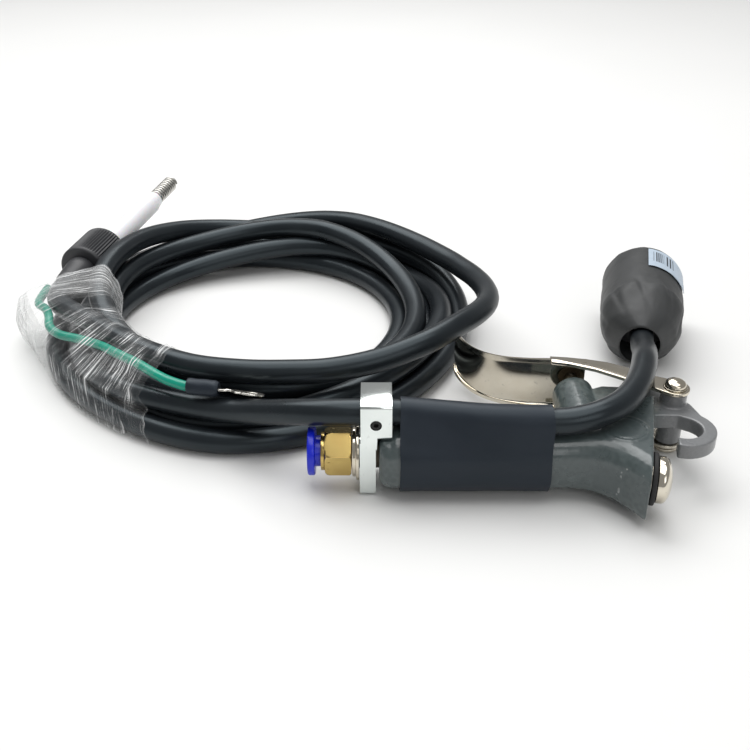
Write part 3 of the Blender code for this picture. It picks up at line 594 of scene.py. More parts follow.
THIRD_TURN = [
    (-144.0, 45.0, 14.2), (-142.0, 69.0, 12.0), (-132.0, 93.0, 8.5), (-112.0, 112.0, 5.5),
    (-85.0, 120.5, 5.3), (-60.0, 120.5, 5.3), (-33.5, 118.4, 5.3), (-19.4, 112.6, 5.3), (-2.7, 94.9, 5.3),
    (10.3, 70.2, 5.3), (14.6, 50.9, 5.3), (12.1, 29.0, 5.3), (5.5, 13.0, 5.3), (-6.0, -5.0, 5.3),
    (-22.0, -22.0, 5.3), (-40.0, -34.0, 5.3), (-57.0, -39.0, 5.3), (-84.0, -35.5, 8.5),
    (-108.0, -18.0, 12.0), (-127.0, 9.0, 14.0),
]
FOURTH_TURN = [
    (-134.0, 45.0, 14.0), (-132.0, 67.0, 13.5), (-123.0, 90.0, 13.2), (-105.0, 110.5, 13.6),
    (-82.0, 122.5, 15.0), (-61.6, 125.0, 17.0), (-42.8, 123.5, 19.0), (-19.1, 110.5, 17.0),
    (-0.9, 92.8, 15.2), (12.8, 69.6, 15.0), (20.6, 48.3, 14.0), (21.6, 32.0, 13.4), (17.2, 13.0, 13.4),
    (7.0, -9.0, 13.6), (-10.0, -28.0, 14.0), (-32.0, -40.0, 14.2), (-57.0, -42.5, 14.4),
    (-84.0, -34.0, 16.5), (-108.0, -15.0, 20.0), (-127.0, 13.0, 23.0),
]
FIFTH_TURN = [
    (-138.0, 46.0, 24.0), (-135.5, 69.0, 24.5), (-126.0, 94.0, 25.0), (-102.0, 120.0, 25.0),
    (-73.0, 135.5, 24.5), (-48.0, 137.0, 23.5), (-28.0, 132.5, 21.5), (-10.0, 124.0, 18.5),
    (6.0, 114.0, 15.0), (21.0, 99.0, 11.0), (33.0, 80.0, 7.5), (40.5, 57.0, 6.0), (39.2, 38.6, 5.3),
    (33.0, 10.0, 5.3), (18.0, -16.0, 5.3), (-3.0, -40.0, 5.3), (-28.0, -55.0, 5.3), (-57.0, -60.0, 5.3),
    (-88.0, -51.0, 6.5), (-117.0, -30.0, 8.0), (-140.0, 2.0, 9.5),
]
SIXTH_TURN = [
    (-150.0, 40.0, 8.0), (-150.0, 64.0, 5.6), (-145.0, 90.0, 6.5), (-135.0, 111.0, 9.0),
    (-118.0, 131.0, 12.0), (-95.0, 146.0, 14.0), (-70.0, 152.0, 16.5), (-46.0, 147.0, 20.0),
    (-23.0, 135.0, 24.0), (-1.0, 117.0, 25.5), (17.0, 98.5, 25.5), (31.0, 80.0, 26.0),
]
STEP = 6.0

# Along the connector's axis: where its nut and rod are, and their radii.
NUT_FROM, NUT_TO, ROD_TO = -3, 29, 94
NUT_RADIUS, ROD_RADIUS = 12.0, 5.8

# How the cable settles: sinking, pull towards its route, push off a neighbour, and
# stiffness as (reach in points, share).
SINK = 0.05
EARLY_PULL, LATE_PULL = 0.05, 0.008
PUSH = 0.34
STIFFNESS = ((1, 0.5), (3, 0.32))
SAME_STRETCH = 4


def clear_of_connector(at):
    """How far points have to move to stay off the nut and the rod on the lead's end."""
    rear, axis = np.array(CONNECTOR_REAR), np.array(CONNECTOR_AXIS)
    along = (at - rear) @ axis
    away = at - rear - along[:, None] * axis
    far = np.maximum(np.linalg.norm(away, axis=1), 1e-6)
    on_rod = np.where((along >= NUT_TO) & (along < ROD_TO), ROD_RADIUS, 0.0)
    keep = np.where((along > NUT_FROM) & (along < NUT_TO), NUT_RADIUS, on_rod)
    short = np.where(keep > 0, np.maximum(0.0, keep + CABLE_RADIUS + 0.3 - far), 0.0)
    return away * (0.5 * short / far)[:, None]


def settled(points, held, rounds):
    """The cable's line after it has sunk onto the table and its own turns."""
    at = np.array(points, float)
    free = np.array([not h for h in held])
    home = at.copy()
    count = len(at)
    thick = 2 * CABLE_RADIUS + 0.05
    near = np.abs(np.arange(count)[:, None] - np.arange(count)[None, :]) <= SAME_STRETCH
    for round_number in range(rounds):
        calm = 1.0 - round_number / rounds
        at[free, 2] -= SINK * calm
        at[free, :2] += (EARLY_PULL * calm + LATE_PULL) * (home[free, :2] - at[free, :2])
        for reach, share in STIFFNESS:
            bend = np.zeros_like(at)
            near_side = at[reach:-3 * reach] + at[3 * reach:-reach]
            inside = slice(2 * reach, -2 * reach)
            bend[inside] = (4 * near_side - at[:-4 * reach] - at[4 * reach:]) / 6 - at[inside]
            at[free] += share * bend[free]
        gap = at[:, None, :] - at[None, :, :]
        apart = np.sqrt((gap ** 2).sum(-1))
        apart[near] = 1e6
        touch = apart < thick
        push = np.where(touch, (thick - apart) / np.maximum(apart, 1e-6), 0.0)
        at[free] += PUSH * (gap * push[:, :, None]).sum(1)[free]
        at[free] += clear_of_connector(at[free])
        at[free, 2] = np.maximum(at[free, 2], CABLE_RADIUS + 0.05)
        at[~free] = home[~free]
    return [Vector(p) for p in at]


def main_line():
    """The whole main lead: lead-in, six turns and the last one's front, one settled line."""
    turns = FIRST_TURN + SECOND_TURN + THIRD_TURN + FOURTH_TURN + FIFTH_TURN + SIXTH_TURN
    points = smooth_route(ROUTE_LEAD_IN + turns + ROUTE_LAST_TURN, STEP)
    first, last = Vector(ROUTE_LEAD_IN[-4]), Vector(ROUTE_LAST_TURN[0])
    start = min(range(60), key=lambda i: (points[i] - first).length)
    stop = min(range(len(points) - 90, len(points)), key=lambda i: (points[i] - last).length)
    held = [i <= start or i >= stop for i in range(len(points))]
    return settled(points, held, 420)


boot_end = CONNECTOR_REAR + CONNECTOR_AXIS * -10.0
lead_points = smooth_route(main_line() + [boot_end], 3.0)
lead = tube("main_lead", lead_points, CABLE_RADIUS, SHEATH, "gun",
            ("lead_in", "cable_coil", "lead_top_turn"), "cable_sheath", 8)
tube("held_lead", smooth_route(ROUTE_HELD, 3.0), CABLE_RADIUS, SHEATH, "gun", ("held_cable",),
                 "cable_sheath", 8)
short_lead = tube("plug_lead", smooth_route(ROUTE_SHORT_LEAD, 2.5), CABLE_RADIUS, SHEATH, "gun",
                  ("short_lead",), "cable_sheath", 8)

# ---- Connector ------------------------------------------------------------------------

boot = turned("boot", dense(softened([(0, -17.6), (5.6, -17.6), (6.3, -16.4), (7.6, -4.0), (7.6, -0.4),
                                      (0, -0.4)],
                                     0.6), 1.2),
              CONNECTOR_REAR, CONNECTOR_AXIS, BLACK_PLASTIC_AND_SHADE, "gun", ("connector_boot",), "black_plastic", 64,
              shape=lambda angle, r, a: r - (0.28 if r > 5 and -14.5 < a < -5 and (a % 2.4) < 1.2 else 0.0))


def knurl(angle, r, a):
    """Fine straight knurling on the nut, faded out at both ends."""
    if r < 11.0:
        return r
    fade = min(1.0, max(0.0, (a - 1.4) / 1.2)) * min(1.0, max(0.0, (24.8 - a) / 1.0))
    tooth = abs(((angle / TAU * 54.0) % 1.0) * 2 - 1)
    return r - 0.55 * fade * (1 - tooth)


nut_profile = dense(softened([(5.5, 0), (11.2, 0), (12.0, 1.0), (12.0, 25.0), (11.2, 26.0), (5.5, 26.0)],
                             0.5, True), 1.3)
nut = turned("knurled_nut", nut_profile, CONNECTOR_REAR, CONNECTOR_AXIS, BLACK_PLASTIC_AND_SHADE, "union_nut", ("union_nut",),
             "black_plastic", 54 * 6, closed=True, shape=knurl)
turned("white_rod", dense(softened([(0, 0), (5.1, 0), (5.1, 26.6), (5.8, 27.4), (5.8, 87.0), (5.0, 88.4),
                                                (4.9, 92.6), (0, 92.6)],
                                               0.4), 4.0),
                   CONNECTOR_REAR, CONNECTOR_AXIS, WHITE, "gun", ("insulator_rod",), "white_plastic", 64)
turned("contact_pin", softened([(0, 92.9), (2.0, 92.9), (2.0, 115.6), (1.2, 116.9), (0, 116.9)], 0.3),
                 CONNECTOR_REAR, CONNECTOR_AXIS, STEEL, "gun", ("contact_core",), "steel", 32)


def helix(name, base, axis, radius, wire, length, turns, look, body, nodes, slot, sides=12, steps=32):
    """A coil spring of even pitch."""
    side, up = frame_of(axis)
    rings = []
    total = turns * steps
    for k in range(total + 1):
        turn = k / steps
        angle = TAU * turn
        spoke = side * math.cos(angle) + up * math.sin(angle)
        centre = base + axis * (length * k / total) + spoke * radius
        ahead = (side * -math.sin(angle) + up * math.cos(angle)) * radius * TAU + axis * (length / turns)
        ahead.normalize()
        out = spoke - ahead * spoke.dot(ahead)
        out.normalize()
        over = ahead.cross(out)
        rings.append([centre + out * wire * math.cos(b) + over * wire * math.sin(b)
                      for b in (TAU * s / sides for s in range(sides))])
    return mesh_of(name, loft_mesh(rings), look, body, nodes, slot)


helix("spring_contact", CONNECTOR_REAR + CONNECTOR_AXIS * 93.8, CONNECTOR_AXIS, 3.55, 0.75, 24.8, 10,
                       STEEL, "gun", ("contact_spring",), "steel")

# ---- Earth wire -----------------------------------------------------------------------

LUG_WAY = Vector((0.985, -0.11, -0.035)).normalized()
LUG_BASE = Vector(ROUTE_EARTH[-1]) + LUG_WAY * 0.8
LUG_ROLL = math.radians(-27)
earth_route = [Vector(p) for p in ROUTE_EARTH] + [LUG_BASE + LUG_WAY * 2.0]
earth = tube("earth_lead", smooth_route(earth_route, 2.0), WIRE_RADIUS, GREEN, "gun", ("earth_wire",),
             "green_sheath", 6)
earth_sleeve = turned(
    "lug_sleeve", dense(softened([(2.2, 0), (3.1, 0), (3.35, 0.8), (3.25, 11.6), (2.7, 13.0), (1.6, 13.0)],
                                 0.25, True), 1.0),
    LUG_BASE, LUG_WAY, SLEEVE, "gun", ("earth_sleeve",), "shrink_sleeve", 40, closed=True,
    shape=lambda angle, r, a: r * (1 + 0.045 * wobble(math.cos(angle) * 1.6, math.sin(angle) * 1.6,
                                                      a * 0.35)))


def ring_lug():
    """Tongue and ring of the lug, one flat strip with a slight bend."""
    start = LUG_BASE + LUG_WAY * 12.2
    flat = Vector((0, 0, 1)).cross(LUG_WAY).normalized()
    side = flat * math.cos(LUG_ROLL) + LUG_WAY.cross(flat) * math.sin(LUG_ROLL)
    up = LUG_WAY.cross(side)
    outline = [(0, -1.9), (3.2, -2.1), (4.6, -1.5), (6.0, -1.6), (8.2, -4.0)]
    outline += arc((14.2, 0), 5.3, -138, 138, 30)
    outline += [(8.2, 4.0), (6.0, 1.6), (4.6, 1.5), (3.2, 2.1), (0, 1.9)]
    rings = []
    for lift in (-0.4, 0.4):
        ring = []
        for u, v in outline:
            sag = -0.045 * max(0.0, u - 4.0) + 0.35 * math.exp(-((u - 5.2) / 1.2) ** 2)
            ring.append(start + LUG_WAY * u + side * v + up * (sag + lift - 0.4))
        rings.append(ring)
    ring = mesh_of("ring_lug", loft_mesh(rings), TINNED, None, (), "", smooth=False)
    hole = bar("lug_hole", 2.7, start + LUG_WAY * 14.2 - up * 5, up, 10.0, 40)
    return keep(built(ring, [hole], bevel=0.22), "gun", ("earth_lug",), "tinned")


lug = ring_lug()


# ---- Stretch film ---------------------------------------------------------------------

RING_CENTRE = Vector((-57.0, 42.75))
FILM_FROM = 177.5
FILM_TO = 250.5
FILM_BULGE = 10.5


def hull(points):
    """Convex hull of points in a plane, anticlockwise."""
    points = sorted(set(points))

    def half(ordered):
        chain = []
        for p in ordered:
            while len(chain) > 1:
                (ax, ay), (bx, by) = chain[-2], chain[-1]
                if (bx - ax) * (p[1] - ay) - (by - ay) * (p[0] - ax) > 0:
                    break
                chain.pop()
            chain.append(p)
        return chain[:-1]

    return half(points) + half(points[::-1])


def resampled(outline, count):
    """A closed outline again, with evenly spaced points."""
    closed = outline + outline[:1]
    along = [0.0]
    for a, b in zip(closed, closed[1:]):
        along.append(along[-1] + math.dist(a, b))
    result, at = [], 0
    for k in range(count):
        want = along[-1] * k / count
        while along[at + 1] < want:
            at += 1
        part = (want - along[at]) / max(along[at + 1] - along[at], 1e-9)
        a, b = closed[at], closed[at + 1]
        result.append((a[0] + (b[0] - a[0]) * part, a[1] + (b[1] - a[1]) * part))
    return result


def crossings(line, angle):
    """Where a line crosses the half plane at an angle round the ring: (distance, height)."""
    way = Vector((math.cos(angle), math.sin(angle)))
    normal = Vector((-way.y, way.x))
    found = []
    for a, b in zip(line, line[1:]):
        pa, pb = Vector((a.x, a.y)) - RING_CENTRE, Vector((b.x, b.y)) - RING_CENTRE
        da, db = pa.dot(normal), pb.dot(normal)
        if (da < 0) != (db < 0):
            t = da / (da - db)
            spot = pa.lerp(pb, t)
            if spot.dot(way) > 30:
                found.append((spot.dot(way), a.z + (b.z - a.z) * t))
    return found


def film_wrap():
    """Film drawn tight round the bundle, tented at its outer side and creased all over."""
    around, along = 240, 210
    wire_line = smooth_route(earth_route, 2.0)
    sections = []
    for k in range(19):
        part = k / 18
        angle = math.radians(FILM_FROM + (FILM_TO - FILM_FROM) * part)
        dots = []
        for line, radius in ((lead_points, CABLE_RADIUS), (wire_line, WIRE_RADIUS)):
            for r, z in crossings(line, angle):
                grow = radius + 0.5
                dots += [(round(r + grow * math.cos(a), 3), round(max(0.35, z + grow * math.sin(a)), 3))
                         for a in (TAU * s / 20 for s in range(20))]
        outer = max(r for r, _ in dots)
        wide = 0.4 + FILM_BULGE * max(0.0, math.cos(min(1.0, part / 0.40) * math.pi / 2)) ** 1.2
        dots += [(outer + wide * 0.55, 1.5), (outer + wide * 0.92, 7.0), (outer + wide, 14.0),
                 (outer + wide * 0.85, 21.0)]
        outline = hull(dots)
        lowest = min(range(len(outline)), key=lambda i: (outline[i][1], outline[i][0]))
        outline = outline[lowest:] + outline[:lowest]
        sections.append(resampled(outline, around))
    bm = bmesh.new()
    layer = bm.loops.layers.uv.new("UVMap")
    rows, flat = [], {}
    for i in range(along + 1):
        u = i / along
        at = u * (len(sections) - 1)
        low = min(int(at), len(sections) - 2)
        mix = at - low
        mix = mix * mix * (3 - 2 * mix)
        row = []
        for j in range(around):
            v = j / around
            end = 3.2 * wobble(0.0, v * 7.0, 3.0) + 1.6 * wobble(0.0, v * 23.0, 8.0)
            s0, s1 = sections[low], sections[low + 1]
            r = s0[j][0] * (1 - mix) + s1[j][0] * mix
            z = s0[j][1] * (1 - mix) + s1[j][1] * mix
            angle = math.radians(FILM_FROM + (FILM_TO - FILM_FROM) * u)
            angle += 0.016 * (abs(2 * u - 1) ** 6) * end
            lift = 0.50 * wobble(u * 60.0, v * 5.0, 1.0) + 0.40 * wobble(u * 110.0 + v * 10.0, v * 4.0, 5.0)
            lift += 0.25 * wobble(u * 40.0 - v * 16.0, v * 6.0, 11.0)
            loose = 0.55 + 1.1 * max(0.0, 1 - u / 0.35) * (1.0 if r > 96.0 else 0.45)
            out = Vector((math.cos(angle), math.sin(angle)))
            middle = sum(p[0] for p in s0[::20]) / len(s0[::20])
            away = Vector((r - middle, z - 16.0)).normalized()
            grow = 0.3 + loose * max(-0.3, lift)
            r, z = r + away.x * grow, max(0.3, z + away.y * grow)
            spot = RING_CENTRE + out * r
            vert = bm.verts.new((spot.x, spot.y, z))
            flat[vert] = (u, v)
            row.append(vert)
        rows.append(row)
    skin(bm, rows, True, False)
    for face in bm.faces:
        values = [flat[loop.vert] for loop in face.loops]
        wraps = max(v for _, v in values) - min(v for _, v in values) > 0.5
        for loop, (u, v) in zip(face.loops, values):
            loop[layer].uv = (u, v + 1.0 if wraps and v < 0.5 else v)
    return mesh_of("stretch_film", bm, FILM, "gun", ("film_wrap",), "clear_film", sharp=180.0)


film = film_wrap()


# ---- Casting --------------------------------------------------------------------------

def section(near, far, low, high, corners, steps=8):
    """A rounded section between a near and a far point in plan, with four corner radii."""
    near, far = Vector((*near, 0)), Vector((*far, 0))
    across = (far - near).normalized()
    wide = (far - near).length
    points = []
    spots = ((0.0, low, 180), (wide, low, 270), (wide, high, 0), (0.0, high, 90))
    for (u, z, start), radius in zip(spots, corners):
        cu = u + (radius if u == 0 else -radius)
        cz = z + (radius if z == low else -radius)
        for k in range(steps + 1):
            a = math.radians(start + 90.0 * k / steps)
            points.append(near + across * (cu + radius * math.cos(a))
                          + Vector((0, 0, cz + radius * math.sin(a))))
    return points


def handle_and_head():
    """The cast bar and its flared head, one loft with soft near edges and crisp far ones."""
    stations = [
        # near point, far point, low, high, corner radii
        ((1.5, -93.1), (1.5, -73.9), 7.9, 21.9, (3.6, 3.6, 3.6, 3.6)),
        ((1.9, -94.9), (1.9, -72.1), 6.1, 23.7, (5.4, 5.4, 5.4, 5.4)),
        ((3.0, -96.3), (3.0, -70.7), 4.7, 24.6, (6.6, 6.6, 6.4, 6.4)),
        ((4.6, -97.1), (4.6, -69.9), 3.9, 24.7, (7.6, 7.6, 6.6, 6.6)),
        ((6.1, -97.4), (6.1, -69.6), 3.6, 24.9, (8.0, 8.0, 7.0, 7.0)),
        ((7.4, -97.5), (7.4, -69.5), 3.5, 26.1, (8.0, 8.0, 8.0, 8.0)),
        ((10.0, -97.5), (10.0, -69.5), 3.5, 26.3, (8.0, 8.0, 8.0, 8.0)),
        ((40.0, -97.5), (40.0, -69.5), 3.5, 26.3, (8.0, 8.0, 8.0, 8.0)),
        ((66.0, -97.4), (66.0, -69.6), 3.5, 26.4, (8.0, 7.8, 7.6, 8.0)),
        ((72.0, -97.4), (73.0, -69.4), 3.5, 26.7, (8.0, 6.0, 5.4, 8.0)),
        ((77.0, -97.8), (79.5, -68.0), 3.4, 27.1, (8.0, 4.0, 3.2, 8.2)),
        ((81.5, -99.0), (86.0, -66.2), 3.3, 27.4, (7.6, 3.0, 2.0, 8.6)),
        ((85.6, -101.4), (92.0, -65.2), 3.3, 27.5, (7.0, 2.6, 1.7, 9.0)),
        ((89.3, -104.6), (97.5, -64.4), 3.3, 27.5, (6.4, 2.4, 1.5, 9.3)),
        ((92.6, -108.6), (102.6, -63.8), 3.3, 27.5, (6.0, 2.2, 1.4, 9.5)),
        ((95.4, -112.6), (107.0, -63.3), 3.3, 27.5, (5.6, 2.0, 1.4, 9.5)),
        ((96.9, -114.8), (109.3, -62.95), 3.3, 27.5, (5.4, 2.0, 1.4, 9.4)),
        ((97.2, -114.6), (109.7, -63.2), 3.7, 27.1, (5.0, 1.7, 1.2, 9.0)),
    ]
    keys = [section(*station) for station in stations]
    rings = []
    for k, (a, b, c, d) in enumerate(zip(keys[:1] + keys, keys, keys[1:], keys[2:] + keys[-1:])):
        steps = 4 if 7 < k < 16 else 1
        for s in range(steps):
            t = s / steps
            rings.append([catmull(p, q, r, w, t) if steps > 1 else q for p, q, r, w in zip(a, b, c, d)])
    rings.append(keys[-1])
    return mesh_of("cast_body", loft_mesh(rings), ENAMEL, None, (), "", smooth=False)


def cast_body():
    """Handle, head, hook and bosses fused as one casting, with its bores."""
    body = handle_and_head()
    eye = (118.3, -77.0)
    outline = ([(92.0, -75.0), (88.0, -60.0), (88.0, -48.0), (93.0, -45.6), (108.0, -46.8), (115.0, -49.3),
                (121.4, -53.6), (125.6, -59.6)] + arc(eye, 12.7, 42, -112, 40) + arc(eye, 7.4, -120, 62, 40)
               + [(118.6, -68.4), (108.0, -68.4), (100.0, -75.0)])
    plate = built(prism("hook_plate", outline, 15.0, 21.3), [], bevel=0.9)
    axis = (math.cos(HEAD_TURN), math.sin(HEAD_TURN), 0)
    seat = HEAD_SEAT
    joins = [
        plate,
        turned("maker_pad", [(0, 0), (8.7, 0), (8.7, 3.6), (7.7, 3.6), (7.7, 3.3), (6.6, 3.3), (6.6, 3.6),
                             (0, 3.6)],
               (93.2, -87.7, 24.4), (0, 0, 1), ENAMEL, None, (), "", 64),
        bar("valve_boss", 8.5, (VALVE_X, -72.0, MID_Z), (0, 1, 0), 29.0),
        bar("pivot_boss", 5.2, (*PIVOT, 4.3), (0, 0, 1), 22.4),
    ]
    cuts = [
        turned("air_bore", [(0, 0), (6.8, 0), (6.8, 17.0), (4.0, 17.0), (4.0, 80.5), (0, 80.5)],
               (-0.4, *INLET), (1, 0, 0), ENAMEL, None, (), "", 40),
        bar("valve_bore", 5.8, (VALVE_X, -92.0, MID_Z), (0, 1, 0), 60.0),
        bar("pivot_bore", 2.8, (*PIVOT, 0.0), (0, 0, 1), 40.0),
        turned("head_bore", [(0, -6.6), (6.3, -6.6), (6.3, 5.0), (0, 5.0)], seat, axis, ENAMEL, None, (),
               "", 40),
    ]
    built(body, cuts, joins, remesh=0.42, smoothing=4)
    return keep(refinished(body, ENAMEL), "gun", ("gun_body",), "enamel")


cast_body()

# ---- Head plug, pivot and valve -------------------------------------------------------

HEAD_AXIS = Vector((math.cos(HEAD_TURN), math.sin(HEAD_TURN), 0))
dome = [(0, -5.6), (5.9, -5.6), (5.9, 2.6), (8.75, 2.6), (8.75, 4.6)]
dome += [(8.75 * math.cos(a), 4.6 + 3.5 * math.sin(a))
         for a in (k * math.pi / 2 / 14 for k in range(1, 14))]
dome += [(0, 8.1)]
turned("dome_plug", softened(dome, 0.25), HEAD_SEAT, HEAD_AXIS, NICKEL, "gun", ("head_plug",), "nickel", 72)
turned("dome_gasket", softened([(6.3, 0.5), (9.8, 0.5), (9.9, 1.0), (9.9, 1.9), (9.5, 2.3), (6.3, 2.3)],
                               0.3, True),
       HEAD_SEAT, HEAD_AXIS, RUBBER, "gun", ("plug_gasket",), "rubber", 64, closed=True)
turned("rivet", softened([(0, 0), (4.4, 0), (4.9, 0.6), (4.9, 1.7), (2.5, 1.7), (2.5, 30.4), (0, 30.4)],
                         0.3),
       (*PIVOT, 0.0), (0, 0, 1), NICKEL, "gun", ("pivot_pin",), "nickel", 48)
cap = [(2.7, 0), (4.2, 0)] + [(4.2 * math.cos(a), 0.5 + 2.3 * math.sin(a)) for a in
                              (k * math.pi / 2 / 10 for k in range(10))] + [(0, 2.8), (0, 1.6), (2.7, 1.5)]
turned("rivet_cap", cap, (*PIVOT, 29.2), (0, 0, 1), NICKEL, "gun", ("pivot_cap",), "nickel", 48,
       closed=True)
turned("rivet_washer", softened([(2.8, 0), (4.6, 0), (4.6, 0.5), (2.8, 0.5)], 0.15, True),
       (*PIVOT, 28.6), (0, 0, 1), NICKEL, "gun", ("pivot_washer",), "nickel", 48, closed=True)
turned("stem", softened([(0, 0), (2.2, 0), (2.2, 33.2), (5.0, 33.2), (5.0, 35.6), (2.0, 35.6), (2.0, 38.5),
                         (0, 38.5)], 0.3),
       (VALVE_X, -36.8, MID_Z), (0, -1, 0), STEEL, "valve_stem", ("valve_stem",), "steel", 40)
turned("gland", softened([(2.5, 0), (5.5, 0), (5.5, 7.0), (2.5, 7.0)], 0.35, True),
       (VALVE_X, -43.0, MID_Z), (0, -1, 0), SHADED_DULL_BRASS, "gun", ("valve_gland",), "brass", 48, closed=True)


# ---- Trigger --------------------------------------------------------------------------

def strap_section(half, depth, curl):
    """Closed section of the folded strip: (inward, height) round its middle line."""
    bend = min(2.4, max(0.9, depth * 0.7))
    line = [(depth, half)]
    line += [(bend - bend * math.sin(a), half - bend + bend * math.cos(a))
             for a in (k * math.pi / 2 / 6 for k in range(7))]
    line += [(curl * (1 - (w / (half - bend)) ** 2), w) for w in
             ((half - bend) * (1 - k / 7) for k in range(1, 14))]
    line += [(u, -w) for u, w in reversed(line[:8])]
    points = [Vector(p) for p in line]
    outer, inner = [], []
    for k, p in enumerate(points):
        way = (points[min(k + 1, len(points) - 1)] - points[max(k - 1, 0)]).normalized()
        normal = Vector((way.y, -way.x))
        outer.append(p + normal * 0.75)
        inner.append(p - normal * 0.75)
    return outer + inner[::-1]


def trigger_strip():
    """Folded strip with its two arms and the bore for the rivet."""
    path = smooth_route([(88.0, -34.6, 0), (74.0, -32.7, 0), (64.0, -31.9, 0), (54.0, -29.7, 0),
                         (46.2, -25.0, 0), (41.0, -18.2, 0), (38.0, -10.8, 0), (36.8, -4.6, 0)], 1.2)
    rings = []
    for k, point in enumerate(path):
        ahead = (path[min(k + 1, len(path) - 1)] - path[max(k - 1, 0)]).normalized()
        inward = Vector((-ahead.y, ahead.x, 0))
        part = k / (len(path) - 1)
        half = 12.4 - 3.3 * part
        depth = 1.5 + 3.2 * max(0.0, 1 - part / 0.55) ** 1.2
        tip = max(0.0, (part - 0.94) / 0.06)
        half -= 1.8 * tip * tip
        rings.append([point + inward * u + Vector((0, 0, MID_Z + w))
                      for u, w in strap_section(half, depth, 0.5)])
    strip = mesh_of("trigger_lever", loft_mesh(rings), NICKEL, None, (), "", smooth=False)
    end = arc(PIVOT, 5.8, 48, -132, 36)
    outline = ([(73.0, -38.4), (73.0, -33.5), (80.0, -34.35), (88.0, -36.0), (96.0, -38.6), (104.0, -43.2),
                (112.0, -49.4)] + end + [(99.3, -51.2), (90.0, -44.6), (80.0, -40.0)])
    arms = [built(prism(name, outline, low, high, NICKEL), [], bevel=0.3)
            for name, low, high in (("arm_top", 27.0, 28.5), ("arm_low", 2.5, 4.0))]
    built(strip, [bar("trigger_bore", 2.8, (*PIVOT, 0.0), (0, 0, 1), 40.0)], arms)
    return keep(refinished(strip, NICKEL, 35), "trigger", ("trigger",), "nickel")


trigger_strip()


# ---- Bracket and inlet ----------------------------------------------------------------

def rounded(centre, reach, radius, steps):
    """A rounded oblong, from its corner arcs' centres and radius."""
    spots = []
    for quarter, (su, sv) in enumerate(((1, 1), (-1, 1), (-1, -1), (1, -1))):
        for k in range(steps + 1):
            a = math.pi / 2 * (quarter + k / steps)
            spots.append((centre[0] + su * reach[0] + radius * math.cos(a),
                          centre[1] + sv * reach[1] + radius * math.sin(a)))
    return spots


def slab(name, spans, corner):
    """A rounded slab along X: each span is (x, low, high)."""
    mid, half = -82.9, 9.3
    rings = []
    for x, low, high in spans:
        reach = (half - corner, (high - low) / 2 - corner)
        rings.append([(x, y, z) for y, z in rounded((mid, (low + high) / 2), reach, corner, 6)])
    return mesh_of(name, loft_mesh(rings), CHROME, None, (), "", smooth=False)


def bracket():
    """End plate and cable clamp as one piece, with its three bores."""
    plate = slab("end_bracket", [(-5.7, 0.0, 25.6), (0.3, 0.0, 25.6)], 2.6)
    steps = ((-5.3, 20.0), (0.7, 20.0), (0.9, 25.1), (6.3, 25.1))
    block = slab("clamp_block", [(x, low, 40.0) for x, low in steps], 1.6)
    cuts = [
        bar("cable_bore", CABLE_RADIUS + 0.25, (-10, -83.0, 31.9), (1, 0, 0), 20.0),
        bar("screw_bore", 2.15, (0.4, -94.2, 31.7), (0, 1, 0), 7.5, 32),
        bar("nipple_bore", 6.8, (-10, *INLET), (1, 0, 0), 12.0),
    ]
    built(plate, cuts, [block], bevel=0.45)
    return keep(refinished(plate, CHROME, 32), "gun", ("base_bracket",), "chrome")


bracket()
LEFT = (-1, 0, 0)


def hexagon(angle, r, a):
    """Six flats 16.6 mm apart, inside the turned outline."""
    if r < 7.5:
        return r
    turn = ((angle - math.radians(18)) % (TAU / 6)) - TAU / 12
    return min(r, 8.3 / math.cos(turn))


turned("hex_fitting", dense(softened([(5.4, 0), (8.9, 0), (9.85, 0.8), (9.85, 7.6), (9.3, 9.2),
                                      (8.5, 10.0), (7.8, 10.0),
                                      (7.8, 8.0), (7.2, 8.0), (7.2, 5.6), (5.4, 5.6)], 0.2, True), 0.8),
       (-9.0, *INLET), LEFT, BRASS, "gun", ("fitting_body",), "brass", 180, closed=True, shape=hexagon)
turned("fitting_ring", softened([(6.3, 0), (7.4, 0), (7.4, 1.3), (7.1, 1.6), (7.4, 1.9), (7.4, 3.2),
                                 (6.3, 3.2)], 0.2, True),
       (-17.3, *INLET), LEFT, BRASS, "gun", ("fitting_end_ring",), "brass", 64, closed=True)
turned("collet", softened([(5.1, 0), (5.9, 0), (5.9, 5.0), (9.0, 5.0), (9.3, 5.5), (9.3, 7.3), (9.0, 7.8),
                           (5.9, 7.8), (5.5, 7.2), (5.1, 7.0)], 0.3, True),
       (-17.7, *INLET), LEFT, BLUE, "release_collet", ("release_collet",), "blue_plastic", 72, closed=True)
# The nipple wears the darkened brass as painted shade, so it reads as the dark gap between the bracket and
# the handle end.
turned("nipple", softened([(3.4, 0), (6.4, 0), (6.4, 21.6), (3.4, 21.6)], 0.3, True), (13.0, *INLET), LEFT,
       SHADED_DULL_BRASS, "gun", ("inlet_nipple",), "brass", 56, closed=True)
turned("locknut", softened([(6.7, 0), (11.1, 0), (11.1, 1.1), (9.8, 1.3), (9.8, 2.4), (9.4, 2.7),
                            (6.7, 2.7)], 0.25, True),
       (-6.0, *INLET), LEFT, NICKEL, "gun", ("inlet_locknut",), "nickel", 64, closed=True)


# ---- Grip sleeve ----------------------------------------------------------------------

def sleeve_ring(x, cable_y, cable_z, grow, count=112):
    """Section of the shrunk sleeve round the handle and the cable on it."""
    dots = rounded(HANDLE_MIDDLE, (6.0, 3.4), 8.0 + grow, 8)
    radius = CABLE_RADIUS + grow
    dots += [(cable_y + radius * math.cos(a), cable_z + radius * math.sin(a))
             for a in (TAU * k / 40 for k in range(40))]
    outline = hull([(round(y, 4), round(z, 4)) for y, z in dots])
    lowest = min(range(len(outline)),
                 key=lambda i: outline[i][1] + 0.3 * abs(outline[i][0] - HANDLE_MIDDLE[0]))
    ring = resampled(outline[lowest:] + outline[:lowest], count)
    return [(x, y, z) for y, z in ring]


